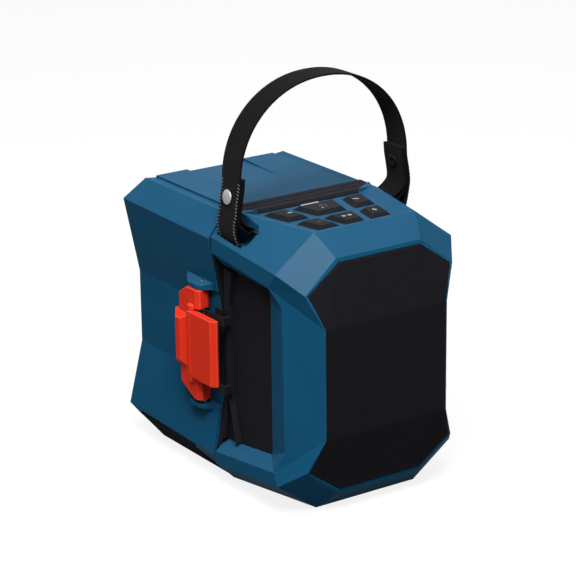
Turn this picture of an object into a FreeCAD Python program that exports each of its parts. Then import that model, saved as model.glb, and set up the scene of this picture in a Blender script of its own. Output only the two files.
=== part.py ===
import FreeCAD, Part
import Sketcher
import itertools
import math
import os

from FreeCAD import Vector, Rotation, Placement

# Portable battery speaker with a carry strap, in millimetres.
# X is the width, +Y runs from the front grille to the rear battery door, +Z is up.
# The origin is on the table, under the middle of the front housing.
DIMENSIONS = {
    "body_width": 160.0,
    "mid_height": 108.5,
    "front_to_origin": 70.0,
    "body_depth": 238.5,
    "housing_depth": 111.7,
    "shell_wall": 3.0,
    "door_front": 116.5,
    "waist_half_width": 69.5,
    "grille_thickness": 1.4,
    "panel_face": 69.7,
    "panel_plate": 3.7,
    "post_height": 4.7,
    "seal_thickness": 0.9,
    "baffle_thickness": 3.0,
    "baffle_width": 106.0,
    "baffle_height": 158.0,
    "woofer_hole_radius": 41.0,
    "tweeter_hole_radius": 16.0,
    "driver_screw_length": 3.4,
    "strap_width": 25.0,
    "strap_thickness": 1.8,
    "strap_half_width": 76.5,
    "strap_rise": 73.0,
    "strap_bar_radius": 1.2,
    "strap_bar_length": 39.0,
    "snap_radius": 6.4,
    "key_rise": 3.0,
    "key_skirt": 2.7,
    "key_travel": 1.0,
    "key_flange": 0.9,
    "key_taper": 47.7,
    "mat_thickness": 1.2,
    "light_bar_height": 1.9,
    "deck_floor": 104.3,
    "deck_floor_wall": 1.5,
    "board_thickness": 1.6,
    "main_board_width": 88.0,
    "main_board_height": 62.0,
    "trim_bar_base": 103.0,
    "trim_bar_top": 106.9,
    "dock_width": 78.0,
    "dock_height": 104.0,
    "dock_depth": 9.0,
    "rail_length": 84.0,
    "terminal_width": 40.0,
    "terminal_height": 18.0,
    "blade_length": 20.0,
    "hinge_axis_x": 79.0,
    "hinge_axis_back": 115.0,
    "hinge_pin_radius": 1.6,
    "hinge_pin_length": 70.0,
    "knuckle_radius": 4.0,
    "running_clearance": 0.06,
    "latch_axis_x": -75.0,
    "latch_axis_back": 133.0,
    "latch_pin_radius": 1.5,
    "latch_pin_length": 102.2,
    "hook_axis_x": -83.5,
    "hook_axis_back": 136.5,
    "hook_pin_radius": 1.3,
    "hook_pin_length": 60.4,
    "plate_half_height": 26.2,
    "claw_height": 6.6,
    "base_pad_width": 72.0,
    "base_pad_length": 64.0,
    "base_pad_thickness": 2.4,
    "screw_head_radius": 3.2,
    "gap": 0.3,
}

STRAP_MIDDLE = 92.0
STRAP_CENTRE_UP = 135.0
SNAP_BACK = 93.5
SNAP_UP = 124.5
SNAP_OUTER = 78.5
SNAP_INNER = 72.2
SNAP_TILT = 8.8
BAR_X = 64.0
BAR_UP = 99.0
BAR_FRONT = 70.8
DRIVER_SCREWS = 4
FRAME_SCREW_PLACES = [(-50.0, 80.0), (50.0, 80.0), (-50.0, -80.0), (50.0, -80.0)]

doc = FreeCAD.newDocument("speaker")
sheet = doc.addObject("Spreadsheet::Sheet", "Dims")


def fill_sheet():
    for row, (alias, value) in enumerate(DIMENSIONS.items(), start=1):
        sheet.set("A%d" % row, alias)
        sheet.set("B%d" % row, str(value))
        sheet.setAlias("B%d" % row, alias)
    doc.recompute()


def dim(alias):
    return float(sheet.get(alias))


fill_sheet()
HALF = dim("body_width") / 2
MID = dim("mid_height")
FRONT = -dim("front_to_origin")
DEPTH = dim("body_depth")
REAR_OF_HOUSING = dim("housing_depth")
WAIST = dim("waist_half_width")
GAP = dim("gap")
FLOOR = dim("deck_floor")
SUBPARTS = []


def at(x, back, up):
    """A point given by its distance back from the front face and up from mid height."""
    return Vector(x, FRONT + back, MID + up)


def both_sides(x, back, up):
    return [at(-x, back, up), at(x, back, up)]


# Solids from points

def outward_polygon(corners, centre):
    """Puts the corners of one flat facet in order, seen from outside."""
    middle = sum(corners, Vector()) * (1.0 / len(corners))
    normal = Vector()
    for one, two in itertools.combinations(corners, 2):
        candidate = (one - middle).cross(two - middle)
        if candidate.Length > normal.Length:
            normal = candidate
    if normal.dot(middle - centre) < 0:
        normal = normal * -1
    normal.normalize()
    along = (corners[0] - middle).normalize()
    across = normal.cross(along)
    return sorted(corners, key=lambda p: math.atan2((p - middle).dot(across), (p - middle).dot(along)))


def facets_of(points):
    """The flat facets of the convex solid round the points, as sets of point numbers."""
    found = set()
    numbers = range(len(points))
    for a, b, c in itertools.combinations(numbers, 3):
        normal = (points[b] - points[a]).cross(points[c] - points[a])
        if normal.Length < 1e-6:
            continue
        normal.normalize()
        heights = [normal.dot(p - points[a]) for p in points]
        if max(heights) > 1e-4 and min(heights) < -1e-4:
            continue
        found.add(frozenset(n for n in numbers if abs(heights[n]) <= 1e-4))
    return found


def polygon_face(corners):
    return Part.Face(Part.makePolygon(list(corners) + [corners[0]]))


def solid_of(faces):
    shell = Part.Shell(faces)
    shell.sewShape()
    solid = Part.Solid(shell)
    if solid.Volume < 0:
        solid.reverse()
    return solid


def hull(points, twisted=()):
    """The convex solid round the points. A twisted four-sided facet becomes one smooth ruled face."""
    centre = sum(points, Vector()) * (1.0 / len(points))
    faces = []
    for facet in facets_of(points):
        corners = [points[n] for n in facet]
        if any(all(any(c.isEqual(q, 1e-6) for q in quad) for c in corners) for quad in twisted):
            continue
        faces.append(polygon_face(outward_polygon(corners, centre)))
    for one, two, three, four in twisted:
        faces.append(Part.makeRuledSurface(Part.makeLine(one, two), Part.makeLine(four, three)))
    return solid_of(faces)


def prism(corners, push):
    """A flat outline pushed along a vector."""
    return polygon_face(corners).extrude(push)


def joined(shapes):
    first = shapes[0]
    rest = list(shapes[1:])
    return first.fuse(rest).removeSplitter() if rest else first


def box(x_range, back_range, up_range):
    low = at(x_range[0], back_range[0], up_range[0])
    return Part.makeBox(
        x_range[1] - x_range[0],
        back_range[1] - back_range[0],
        up_range[1] - up_range[0],
        low,
    )


def upright_cylinder(radius, x, back, up_range):
    return Part.makeCylinder(radius, up_range[1] - up_range[0], at(x, back, up_range[0]), Vector(0, 0, 1))


def mirrored(shape):
    return shape.mirror(Vector(0, 0, 0), Vector(1, 0, 0))


def add_feature(label, shape):
    feature = doc.addObject("Part::Feature", label)
    feature.Label = label
    feature.Shape = shape
    feature.Placement = Placement()
    SUBPARTS.append(feature)
    return feature


# Bodies with sketches

def new_body(label, placement=None):
    body = doc.addObject("PartDesign::Body", label)
    body.Label = label
    if placement is not None:
        body.Placement = placement
    SUBPARTS.append(body)
    return body


def new_sketch(body, name, role="XY_Plane", height=0.0):
    sketch = body.newObject("Sketcher::SketchObject", body.Label + "_" + name)
    plane = next(f for f in body.Origin.OriginFeatures if f.Role == role)
    sketch.AttachmentSupport = [(plane, "")]
    sketch.MapMode = "FlatFace"
    sketch.AttachmentOffset = Placement(Vector(0, 0, height), Rotation())
    return sketch


def draw_outline(sketch, corners):
    for start, end in zip(corners, corners[1:] + corners[:1]):
        sketch.addGeometry(Part.LineSegment(Vector(*start, 0), Vector(*end, 0)))


def rectangle(x_range, y_range):
    (x0, x1), (y0, y1) = x_range, y_range
    return [(x0, y0), (x1, y0), (x1, y1), (x0, y1)]


def draw_circle(sketch, centre, radius, radius_cell=None):
    number = sketch.addGeometry(Part.Circle(Vector(*centre, 0), Vector(0, 0, 1), radius))
    if radius_cell:
        constraint = sketch.addConstraint(Sketcher.Constraint("Radius", number, radius))
        sketch.setExpression("Constraints[%d]" % constraint, "Dims." + radius_cell)


def draw_rectangle(sketch, width_cell, height_cell):
    """A rectangle centred on the sketch's origin, with both sides bound to cells."""
    half_w, half_h = dim(width_cell) / 2, dim(height_cell) / 2
    draw_outline(sketch, [(-half_w, -half_h), (half_w, -half_h), (half_w, half_h), (-half_w, half_h)])
    for first, second in ((0, 1), (1, 2), (2, 3), (3, 0)):
        sketch.addConstraint(Sketcher.Constraint("Coincident", first, 2, second, 1))
    sketch.addConstraint(Sketcher.Constraint("Horizontal", 0))
    sketch.addConstraint(Sketcher.Constraint("Horizontal", 2))
    sketch.addConstraint(Sketcher.Constraint("Vertical", 1))
    sketch.addConstraint(Sketcher.Constraint("Vertical", 3))
    sketch.addConstraint(Sketcher.Constraint("Symmetric", 0, 1, 1, 2, -1, 1))
    width = sketch.addConstraint(Sketcher.Constraint("DistanceX", 0, 1, 0, 2, 2 * half_w))
    height = sketch.addConstraint(Sketcher.Constraint("DistanceY", 1, 1, 1, 2, 2 * half_h))
    sketch.setExpression("Constraints[%d]" % width, "Dims." + width_cell)
    sketch.setExpression("Constraints[%d]" % height, "Dims." + height_cell)


def pad(body, sketch, expression, both_ways=False):
    feature = body.newObject("PartDesign::Pad", sketch.Name + "_pad")
    feature.Profile = sketch
    feature.Midplane = both_ways
    feature.setExpression("Length", expression)
    sketch.Visibility = False
    doc.recompute()
    return feature


def pocket_through(body, sketch):
    feature = body.newObject("PartDesign::Pocket", sketch.Name + "_cut")
    feature.Profile = sketch
    feature.Type = 1
    feature.Midplane = True
    doc.recompute()
    return feature


def revolve(body, sketch):
    feature = body.newObject("PartDesign::Revolution", sketch.Name + "_turn")
    feature.Profile = sketch
    feature.ReferenceAxis = (sketch, ["V_Axis"])
    feature.Angle = 360
    doc.recompute()
    return feature


def turned_body(label, outline, placement):
    """A piece turned about its own Z axis, from (radius, height) points."""
    body = new_body(label, placement)
    sketch = new_sketch(body, "profile", "XZ_Plane")
    draw_outline(sketch, outline)
    revolve(body, sketch)
    return body


def plan_view(up):
    """A placement whose sketch is drawn in X and back, and pushed upwards."""
    return Placement(at(0, 0, up), Rotation())


def side_view(x):
    """A placement whose sketch is drawn in back and up, and pushed along X."""
    return Placement(at(x, 0, 0), Rotation(Vector(1, 1, 1), 120))


def facing_front(x, back, up):
    """A placement whose own Z axis points back into the housing."""
    return Placement(at(x, back, up), Rotation(Vector(1, 0, 0), -90))


def pushed_body(label, outlines, placement, length, both_ways=False):
    """A body of flat outlines pushed along its own Z axis. An outline inside another is a hole."""
    body = new_body(label, placement)
    body.AllowCompound = True
    sketch = new_sketch(body, "outline")
    for outline in outlines:
        draw_outline(sketch, outline)
    pad(body, sketch, length, both_ways)
    return body


# Front housing and grille

BEZEL_EDGE = (54.65, 0.0, 42.8)
BEZEL_SIDE = (80.0, 13.7, 58.0)
CORNER_SIDE = (80.0, 27.5, 82.6)
CORNER_TOP = (45.5, 27.7, 108.1)
CORNER_INNER = (38.2, 10.6, 91.8)
CORNER_OUTER = (66.7, 8.9, 68.6)
SHOULDER_REAR = (80.0, 111.7, 89.8)
DECK_REAR = (64.0, 111.7, 107.8)
BASE_HEIGHT = 107.7
GRILLE_TOP = (36.65, 8.8, 88.15)
GRILLE_CORNER = (64.3, 7.9, 68.3)
GRILLE_RECESS = 0.7


def upper_and_lower(place):
    x, back, up = place
    low = max(-up, -BASE_HEIGHT)
    return both_sides(x, back, up) + both_sides(x, back, low)


def housing_outside():
    points = []
    for place in (BEZEL_EDGE, BEZEL_SIDE, CORNER_SIDE, CORNER_TOP, CORNER_INNER, CORNER_OUTER):
        points += upper_and_lower(place)
    points += both_sides(*SHOULDER_REAR) + both_sides(*DECK_REAR)
    points += both_sides(HALF, REAR_OF_HOUSING, -92.0) + both_sides(64.0, REAR_OF_HOUSING, -BASE_HEIGHT)
    shoulders = []
    for side in (-1, 1):
        quad = [CORNER_TOP, CORNER_SIDE, SHOULDER_REAR, DECK_REAR]
        shoulders.append([at(side * x, back, up) for x, back, up in quad])
    return hull(points, shoulders)


def housing_cavity():
    points = []
    for up in (-45.0, 45.0):
        points += both_sides(53.0, 13.0, up)
    for up in (-84.0, 84.0):
        points += both_sides(40.0, 17.0, up)
    for sign in (-1, 1):
        points += both_sides(66.5, 32.0, sign * 72.0)
        points += both_sides(66.5, 113.0, sign * 78.0)
        points += both_sides(46.0, 34.0, sign * 98.3)
        points += both_sides(57.0, 113.0, sign * 98.3)
    return hull(points)


def grille_outline(grow):
    """The twelve corners of the grille, from the top left round to the left side."""
    scale = 1.0 + grow / 60.0
    quarter = [GRILLE_TOP, GRILLE_CORNER, BEZEL_EDGE]
    right_up = [(x * scale, back, up * scale) for x, back, up in quarter]
    right_down = [(x, back, -up) for x, back, up in reversed(right_up)]
    right = right_up + right_down
    left = [(-x, back, up) for x, back, up in reversed(right)]
    return right + left


def grille_facets(grow):
    """The seven flat facets of the grille's face."""
    top, corner, edge, low_edge, low_corner, low_top = grille_outline(grow)[:6]

    def flip(place):
        return (-place[0], place[1], place[2])

    facets = [
        [flip(edge), edge, low_edge, flip(low_edge)],
        [flip(top), top, edge, flip(edge)],
        [flip(low_edge), low_edge, low_top, flip(low_top)],
    ]
    for a, b, c in ((top, corner, edge), (low_edge, low_corner, low_top)):
        facets.append([a, b, c])
        facets.append([flip(a), flip(b), flip(c)])
    return [[at(*place) for place in facet] for facet in facets]


def grille_slab(grow, front_offset, thickness):
    slabs = []
    for facet in grille_facets(grow):
        moved = [corner + Vector(0, front_offset, 0) for corner in facet]
        slabs.append(prism(moved, Vector(0, thickness, 0)))
    return joined(slabs)


WINDOW_FRONT_TOP = (36.6, 70.5)
WINDOW_FRONT_LOW = (32.7, -72.8)
PILLAR_EDGE = [(-75.3, 20.9, 53.4), (-75.3, 20.9, -53.4)]
PILLAR_FRONT = (55.2, 0.0, 42.8)


def pillar_cut():
    """The wedge that draws the left front pillar in between the wider top and bottom."""
    corners = []
    for sign in (-1, 1):
        for x, back, up in (CORNER_SIDE, CORNER_OUTER, PILLAR_FRONT):
            corners.append((-x, back, sign * up))
    corners += [(-HALF, *WINDOW_FRONT_TOP), (-HALF, *WINDOW_FRONT_LOW)]
    points = [at(*place) for place in corners + PILLAR_EDGE]
    points += [at(x - 10.0, back - 10.0, up) for x, back, up in corners]
    return hull(points)


def window_cut():
    """The side window on the left: wide at the outer face, narrower where the dark panel sits."""
    outer = [(113.0, 77.8), WINDOW_FRONT_TOP, WINDOW_FRONT_LOW, (113.0, -82.2)]
    inner = [(113.0, 66.6), (50.0, 63.2), (48.4, 58.0), (48.4, -62.0), (50.0, -66.6), (113.0, -74.3)]
    points = [at(-HALF - 0.01, back, up) for back, up in outer]
    points += [at(-70.0, back, up) for back, up in inner] + [at(*place) for place in PILLAR_EDGE]
    through = prism([at(-70.0, back, up) for back, up in inner], Vector(12, 0, 0))
    return hull(points).fuse(through)


def deck_recess():
    """The shallow tray in the top that holds the keys."""
    points = both_sides(34.6, 37.2, FLOOR) + both_sides(49.2, 99.6, FLOOR)
    points += both_sides(44.6, 28.6, 108.7) + both_sides(61.6, 99.6, 108.7)
    return hull(points)


def trim_seat():
    """Room for the black bar behind the keys."""
    outline = trim_bar_outline(GAP)
    corners = [at(x, back, dim("trim_bar_base") - GAP) for x, back in outline]
    return prism(corners, Vector(0, 0, 8))


def under_deck_pocket():
    corners = [(-36.5, 33.0), (36.5, 33.0), (50.0, 97.0), (-50.0, 97.0)]
    ceiling = FLOOR - dim("deck_floor_wall")
    return prism([at(x, back, 96.0) for x, back in corners], Vector(0, 0, ceiling - 96.0))


def strap_slot():
    """The open slot in the left shoulder that the strap passes through. It narrows downwards."""
    mouth = [(-77.3, 108.6), (-77.3, 76.6), (-74.0, 72.2), (-64.5, 71.7), (-60.6, 76.0), (-60.6, 105.0)]
    mouth.append((-64.0, 108.6))
    floor = [(-77.3, 108.6), (-77.3, 76.6), (-74.0, 73.0), (-66.0, 73.0), (-64.0, 76.0), (-64.0, 108.6)]
    points = [at(x, back, up) for up in (95.0, 112.0) for x, back in mouth]
    return hull(points + [at(x, back, 87.0) for x, back in floor])


def build_front_housing():
    shell = housing_outside()
    cuts = [
        housing_cavity(),
        grille_slab(0.3, -4.0, 4.0 + GRILLE_RECESS + 1.7),
        grille_slab(-4.0, 1.0, 16.0),
        pillar_cut(),
        mirrored(pillar_cut()),
        window_cut(),
        mirrored(window_cut()),
        deck_recess(),
        trim_seat(),
        under_deck_pocket(),
        strap_slot(),
        mirrored(strap_slot()),
        box((-8.2, 8.2), (96.6, 99.0), (100.0, 106.0)),
        base_pad_seat(),
    ]
    cuts += [key_prism(outline, GAP, 101.0, 108.0) for outline in key_outlines().values()]
    for cut in cuts:
        shell = shell.cut(cut)
    seat_radius, seat_length = dim("strap_bar_radius") + 0.02, dim("strap_bar_length") + 0.4
    for place in both_sides(BAR_X, BAR_FRONT - 0.2, BAR_UP):
        shell = shell.cut(Part.makeCylinder(seat_radius, seat_length, place, Vector(0, 1, 0)))
    add_feature("front_housing", shell.removeSplitter())


def build_front_grille():
    add_feature("front_grille", grille_slab(0.0, GRILLE_RECESS, dim("grille_thickness")))


# Speaker drivers

WOOFER = (0.0, -24.0)
TWEETER = (0.0, 52.0)
BAFFLE_BACK = 17.6


def driver_screw_places():
    places = []
    for number in range(DRIVER_SCREWS):
        angle = math.pi / 4 + number * math.pi / 2
        places.append((50.2 * math.cos(angle), WOOFER[1] + 50.2 * math.sin(angle)))
    return places


def build_baffle():
    body = new_body("driver_baffle", facing_front(0, BAFFLE_BACK, 0))
    plate = new_sketch(body, "plate")
    half_width, half_height = dim("baffle_width") / 2, dim("baffle_height") / 2
    quarter = [(half_width, half_height - 34.0), (half_width - 13.0, half_height)]
    right = [(x, -up) for x, up in quarter] + quarter[::-1]
    draw_outline(plate, right[1::-1] + right[:1:-1] + [(-x, up) for x, up in right[2:] + right[:2]])
    pad(body, plate, "Dims.baffle_thickness")
    holes = new_sketch(body, "holes")
    for x, up in driver_screw_places():
        draw_circle(holes, (x, -up), 1.7)
    draw_circle(holes, (WOOFER[0], -WOOFER[1]), dim("woofer_hole_radius"), "woofer_hole_radius")
    draw_circle(holes, (TWEETER[0], -TWEETER[1]), dim("tweeter_hole_radius"), "tweeter_hole_radius")
    pocket_through(body, holes)


def build_woofer():
    rim = BAFFLE_BACK + dim("baffle_thickness") + 0.1
    place = facing_front(WOOFER[0], rim, WOOFER[1])
    basket = [(42, 0), (47, 0), (47, 2.2), (44, 2.2), (27, 21),
              (27, 23), (11, 23), (11, 21), (25, 21), (42, 2.2)]
    turned_body("woofer_basket", basket, place)
    cone = [(0, 9.6), (12, 13.6), (34, 3.0), (37.5, 0.4), (41.4, 1.6), (41.4, 2.8), (37.5, 1.6),
            (34.6, 4.2), (12.4, 14.8), (12.4, 20.6), (11.4, 20.6), (11.4, 14.8), (0, 10.8)]
    turned_body("woofer_cone", cone, place)
    magnet = [(0, 23.2), (32, 23.2), (32, 27), (29, 27), (29, 41), (32, 41), (32, 44), (0, 44)]
    turned_body("woofer_magnet", magnet, place)


def build_tweeter():
    rim = BAFFLE_BACK + dim("baffle_thickness") + 0.1
    dome = [(0, -3.4), (6, -2.2), (9.5, 0.6), (12, 0), (19, 0), (19, 2), (15.5, 2), (15.5, 15), (0, 15)]
    turned_body("tweeter", dome, facing_front(TWEETER[0], rim, TWEETER[1]))


def screw_group(label, places, length, head_radius, shank_radius):
    """Several identical screws as one node, with their heads to the rear."""
    axis = Vector(0, 1, 0)
    screws = []
    for place in places:
        shank = Part.makeCylinder(shank_radius, length, place, axis)
        head = Part.makeCylinder(head_radius, head_radius * 0.75, place + axis * length, axis)
        slot = Part.makeBox(head_radius * 1.3, head_radius, 0.9)
        slot.translate(Vector(-head_radius * 0.65, -head_radius / 2, -0.45))
        slot.translate(place + axis * (length + head_radius * 0.75))
        screws.append(shank.fuse(head).cut(slot))
    add_feature(label, Part.makeCompound(screws))


def build_driver_screws():
    start = BAFFLE_BACK + 0.6
    places = [at(x, start, up) for x, up in driver_screw_places()]
    screw_group("driver_screws", places, dim("driver_screw_length"), dim("screw_head_radius"), 1.5)


# Middle frame and its side panels

def side_profile(inset, low_inset=None):
    """Half of the waisted outline of the frame and door, from the top down."""
    low = inset if low_inset is None else low_inset
    return [
        (64.5 - inset * 0.4, 105.8 - inset),
        (HALF - inset, 87.6 - inset * 0.4),
        (WAIST - inset, 29.0),
        (WAIST - inset, -36.0),
        (HALF - low, -86.0 + low * 0.4),
        (63.5 - low * 0.4, -105.6 + low),
    ]


def waisted_outline(inset, low_inset=None, top_limit=None):
    half = side_profile(inset, low_inset)
    if top_limit is not None:
        half[0] = (half[0][0], min(half[0][1], top_limit))
    return half + [(-x, up) for x, up in reversed(half)]


def waisted_plate(inset, back, thickness, low_inset=None, top_limit=None):
    outline = waisted_outline(inset, low_inset, top_limit)
    return prism([at(x, back, up) for x, up in outline], Vector(0, thickness, 0))


FLANGE_BACK = 112.2
FLANGE_THICKNESS = 3.0


def octagon(half_width, half_height):
    quarter = [(half_width, half_height - 23.5), (half_width - 18.5, half_height)]
    right = [(x, -up) for x, up in quarter][::-1] + quarter
    return right + [(-x, up) for x, up in reversed(right)]


def frame_box(half_width, half_height, start, end):
    corners = [at(x, start, up) for x, up in octagon(half_width, half_height)]
    return prism(corners, Vector(0, end - start, 0))


def hinge_knuckle(low, high, arm_back):
    """One knuckle round the door's hinge axis, with the arm that carries it."""
    x, back = dim("hinge_axis_x"), dim("hinge_axis_back")
    radius = dim("knuckle_radius")
    knuckle = upright_cylinder(radius, x, back, (low, high))
    arm = box((WAIST - 4.0, x), arm_back, (low, high))
    bore = upright_cylinder(dim("hinge_pin_radius") + dim("running_clearance"), x, back, (low - 1, high + 1))
    return knuckle.fuse(arm).cut(bore)


FRAME_KNUCKLES = [(14.3, 34.0), (-34.0, -14.3)]
DOOR_KNUCKLE = (-14.0, 14.0)
LIP_UP = (-31.5, 30.2)


def door_lip():
    """A lip on the frame that covers the door's front edge behind the latch plate."""
    foot = box((-71.6, -68.0), (112.1, 114.6), LIP_UP)
    return foot.fuse(box((-71.6, -70.0), (112.1, 121.4), LIP_UP))


def build_mid_frame():
    outside = frame_box(65.4, 93.4, 52.0, 113.0)
    inside = frame_box(62.9, 90.9, 51.0, 109.6)
    flange = waisted_plate(0.8, FLANGE_BACK, FLANGE_THICKNESS, 3.6, 102.6)
    frame = outside.cut(inside).fuse(flange)
    front_rim = frame_box(62.95, 90.95, 52.0, 55.0)
    frame = frame.fuse(front_rim.cut(frame_box(57.0, 85.0, 51.0, 56.0)))
    for low, high in FRAME_KNUCKLES:
        frame = frame.fuse(hinge_knuckle(low, high, (112.2, 114.0)))
    for low, high in FRAME_KNUCKLES:
        x, back = dim("hinge_axis_x"), dim("hinge_axis_back")
        bore = upright_cylinder(dim("hinge_pin_radius") + 0.02, x, back, (low - 1, high + 1))
        frame = frame.cut(bore)
    for x, up in FRAME_SCREW_PLACES:
        hole = Part.makeCylinder(1.8, 12, at(x, 106, up), Vector(0, 1, 0))
        frame = frame.cut(hole)
    frame = frame.cut(box((-14.0, 14.0), (108.0, 116.0), (-44.0, -32.0)))
    add_feature("mid_frame", frame.fuse(door_lip()).removeSplitter())


def post_ribs():
    """The post on the side panel: an upright that leans out at the top and splits at the bottom."""
    shapes = [
        [(99.4, 36.0), (99.4, -36.0), (104.4, -36.0), (104.4, 36.0)],
        [(99.4, 36.0), (104.4, 36.0), (103.4, 65.8), (94.0, 65.2)],
        [(102.2, -36.0), (104.4, -36.0), (111.4, -72.6), (108.2, -72.2)],
        [(99.4, -36.0), (101.0, -36.0), (92.6, -70.4), (90.6, -70.2)],
    ]
    face = -dim("panel_face")
    ribs = []
    for outline in shapes:
        ribs.append(prism([at(face, back, up) for back, up in outline], Vector(-dim("post_height"), 0, 0)))
    return ribs


def build_side_panels():
    outline = [(48.9, 57.0), (50.6, 62.7), (111.7, 66.0), (111.7, -73.6), (50.6, -66.0), (48.9, -61.0)]
    face, plate = dim("panel_face"), dim("panel_plate")
    pushed_body("side_panel_left", [outline], side_view(-face), "Dims.panel_plate")
    pushed_body("side_panel_right", [outline], side_view(face - plate), "Dims.panel_plate")
    ribs = Part.makeCompound(post_ribs())
    add_feature("side_post_left", ribs)
    add_feature("side_post_right", mirrored(ribs))


def build_bay_seal():
    outlines = []
    for inset, low_inset, top in ((2.6, 5.4, 100.4), (5.4, 8.4, 97.4)):
        outlines.append([(x, -up) for x, up in waisted_outline(inset, low_inset, top)])
    place = facing_front(0, FLANGE_BACK + FLANGE_THICKNESS + 0.02, 0)
    pushed_body("bay_seal", outlines, place, "Dims.seal_thickness")


def build_frame_screws():
    start = FLANGE_BACK + FLANGE_THICKNESS - 6.9
    places = [at(x, start, up) for x, up in FRAME_SCREW_PLACES]
    screw_group("frame_screws", places, 7.0, dim("screw_head_radius"), 1.7)


def build_hinge_pin():
    body = new_body("hinge_pin", Placement(at(dim("hinge_axis_x"), dim("hinge_axis_back"), 0), Rotation()))
    sketch = new_sketch(body, "circle")
    draw_circle(sketch, (0, 0), dim("hinge_pin_radius"), "hinge_pin_radius")
    pad(body, sketch, "Dims.hinge_pin_length", both_ways=True)


# Battery dock and electronics

DOCK_BACK = 115.4


def build_battery_dock():
    body = new_body("battery_dock", facing_front(0, DOCK_BACK, 0))
    plate = new_sketch(body, "plate")
    draw_rectangle(plate, "dock_width", "dock_height")
    pad(body, plate, "Dims.dock_depth")


def build_battery_rails():
    face = DOCK_BACK + dim("dock_depth") + 0.05
    outlines = []
    for side in (-1, 1):
        corners = [(36, 0), (36, 9), (28, 9), (28, 6.4), (32, 6.4), (32, 0)]
        outlines.append([(side * x, face + back) for x, back in corners])
    pushed_body("battery_rails", outlines, plan_view(0.0), "Dims.rail_length", both_ways=True)


def build_terminal_block():
    face = DOCK_BACK + dim("dock_depth") + 0.05
    body = pushed_body(
        "terminal_block",
        [rectangle((-dim("terminal_width") / 2, dim("terminal_width") / 2), (face, face + 5.0))],
        plan_view(-40.0),
        "Dims.terminal_height",
    )
    blades = new_sketch(body, "blades", height=6.0)
    for number in range(5):
        x = (number - 2) * 7.0
        draw_outline(blades, rectangle((x - 0.4, x + 0.4), (face + 4.9, face + 11.0)))
    pad(body, blades, "Dims.blade_length")


def build_main_board():
    body = new_body("main_board", facing_front(0, 106.0, 8.0))
    plate = new_sketch(body, "plate")
    draw_rectangle(plate, "main_board_width", "main_board_height")
    pad(body, plate, "Dims.board_thickness")
    parts = new_sketch(body, "heat_sink")
    draw_outline(parts, [(-34, -22), (-10, -22), (-10, 8), (-34, 8)])
    pad(body, parts, "Dims.board_thickness * 5").Reversed = True
    chips = new_sketch(body, "chips")
    draw_outline(chips, [(4, -18), (18, -18), (18, -4), (4, -4)])
    draw_outline(chips, [(24, 2), (34, 2), (34, 16), (24, 16)])
    pad(body, chips, "Dims.board_thickness * 2").Reversed = True
    doc.recompute()


def wire_tube(points, radius):
    """A round wire along straight runs joined by tangent arcs."""
    runs = [(points[n + 1] - points[n]).Length for n in range(len(points) - 1)]
    edges = []
    last = points[0]
    for number in range(1, len(points) - 1):
        back = (points[number - 1] - points[number]).normalize()
        on = (points[number + 1] - points[number]).normalize()
        half_turn = (math.pi - back.getAngle(on)) / 2
        reach = 0.45 * min(runs[number - 1], runs[number])
        start = points[number] + back * reach
        end = points[number] + on * reach
        bisector = (back + on).normalize()
        arc_radius = reach / math.tan(half_turn)
        centre = points[number] + bisector * (arc_radius / math.cos(half_turn))
        middle = centre - bisector * arc_radius
        edges.append(Part.makeLine(last, start))
        edges.append(Part.Arc(start, middle, end).toShape())
        last = end
    edges.append(Part.makeLine(last, points[-1]))
    path = Part.Wire(edges)
    section = Part.Wire(Part.makeCircle(radius, points[0], points[1] - points[0]))
    return path.makePipeShell([section], True, False)


def build_wires():
    speaker_wires = []
    for side in (-1, 1):
        route = [(side * 3 + 36, 105.1, -14.0), (side * 3 + 40, 92.0, -22.0),
                 (side * 3 + 38, 66.0, -46.0), (side * 2 + 24, 44.9, -52.0)]
        speaker_wires.append(wire_tube([at(*p) for p in route], 0.8))
    add_feature("speaker_wires", Part.makeCompound(speaker_wires))


# Keys and top trim

FRONT_ROW = (38.4, 61.0)
REAR_ROW = (68.5, 93.0)


def key_outlines():
    """The six key outlines, as (x, back) corners. The columns fan out towards the rear."""
    def side_key(row, sign):
        inner = [(sign * (14.3 + (back - FRONT_ROW[0]) * 0.22), back) for back in row]
        outer = [(sign * (32.4 + (back - FRONT_ROW[0]) * 0.235), back) for back in row]
        return [inner[0], outer[0], outer[1], inner[1]]

    def middle_key(row, front_half, rear_half):
        start, end = row
        return [(-front_half, start), (front_half, start), (rear_half, end), (-rear_half, end)]

    return {
        "key_minus": side_key(REAR_ROW, -1),
        "key_power": middle_key(REAR_ROW, 13.4, 19.2),
        "key_pair": side_key(REAR_ROW, 1),
        "key_skip": side_key(FRONT_ROW, -1),
        "key_play": middle_key(FRONT_ROW, 8.4, 13.4),
        "key_plus": side_key(FRONT_ROW, 1),
    }


def resized(outline, grow):
    """Moves each side of a convex outline outwards."""
    middle_x = sum(x for x, _ in outline) / len(outline)
    middle_b = sum(b for _, b in outline) / len(outline)
    lines = []
    for (x0, b0), (x1, b1) in zip(outline, outline[1:] + outline[:1]):
        nx, nb = b1 - b0, x0 - x1
        size = math.hypot(nx, nb)
        nx, nb = nx / size, nb / size
        if nx * (x0 - middle_x) + nb * (b0 - middle_b) < 0:
            nx, nb = -nx, -nb
        lines.append((nx, nb, nx * x0 + nb * b0 + grow))
    corners = []
    for (a, b, c), (d, e, f) in zip([lines[-1]] + lines[:-1], lines):
        det = a * e - b * d
        corners.append(((c * e - b * f) / det, (a * f - c * d) / det))
    return corners


def key_prism(outline, grow, low, high):
    corners = [at(x, back, low) for x, back in resized(outline, grow)]
    return prism(corners, Vector(0, 0, high - low))


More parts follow.
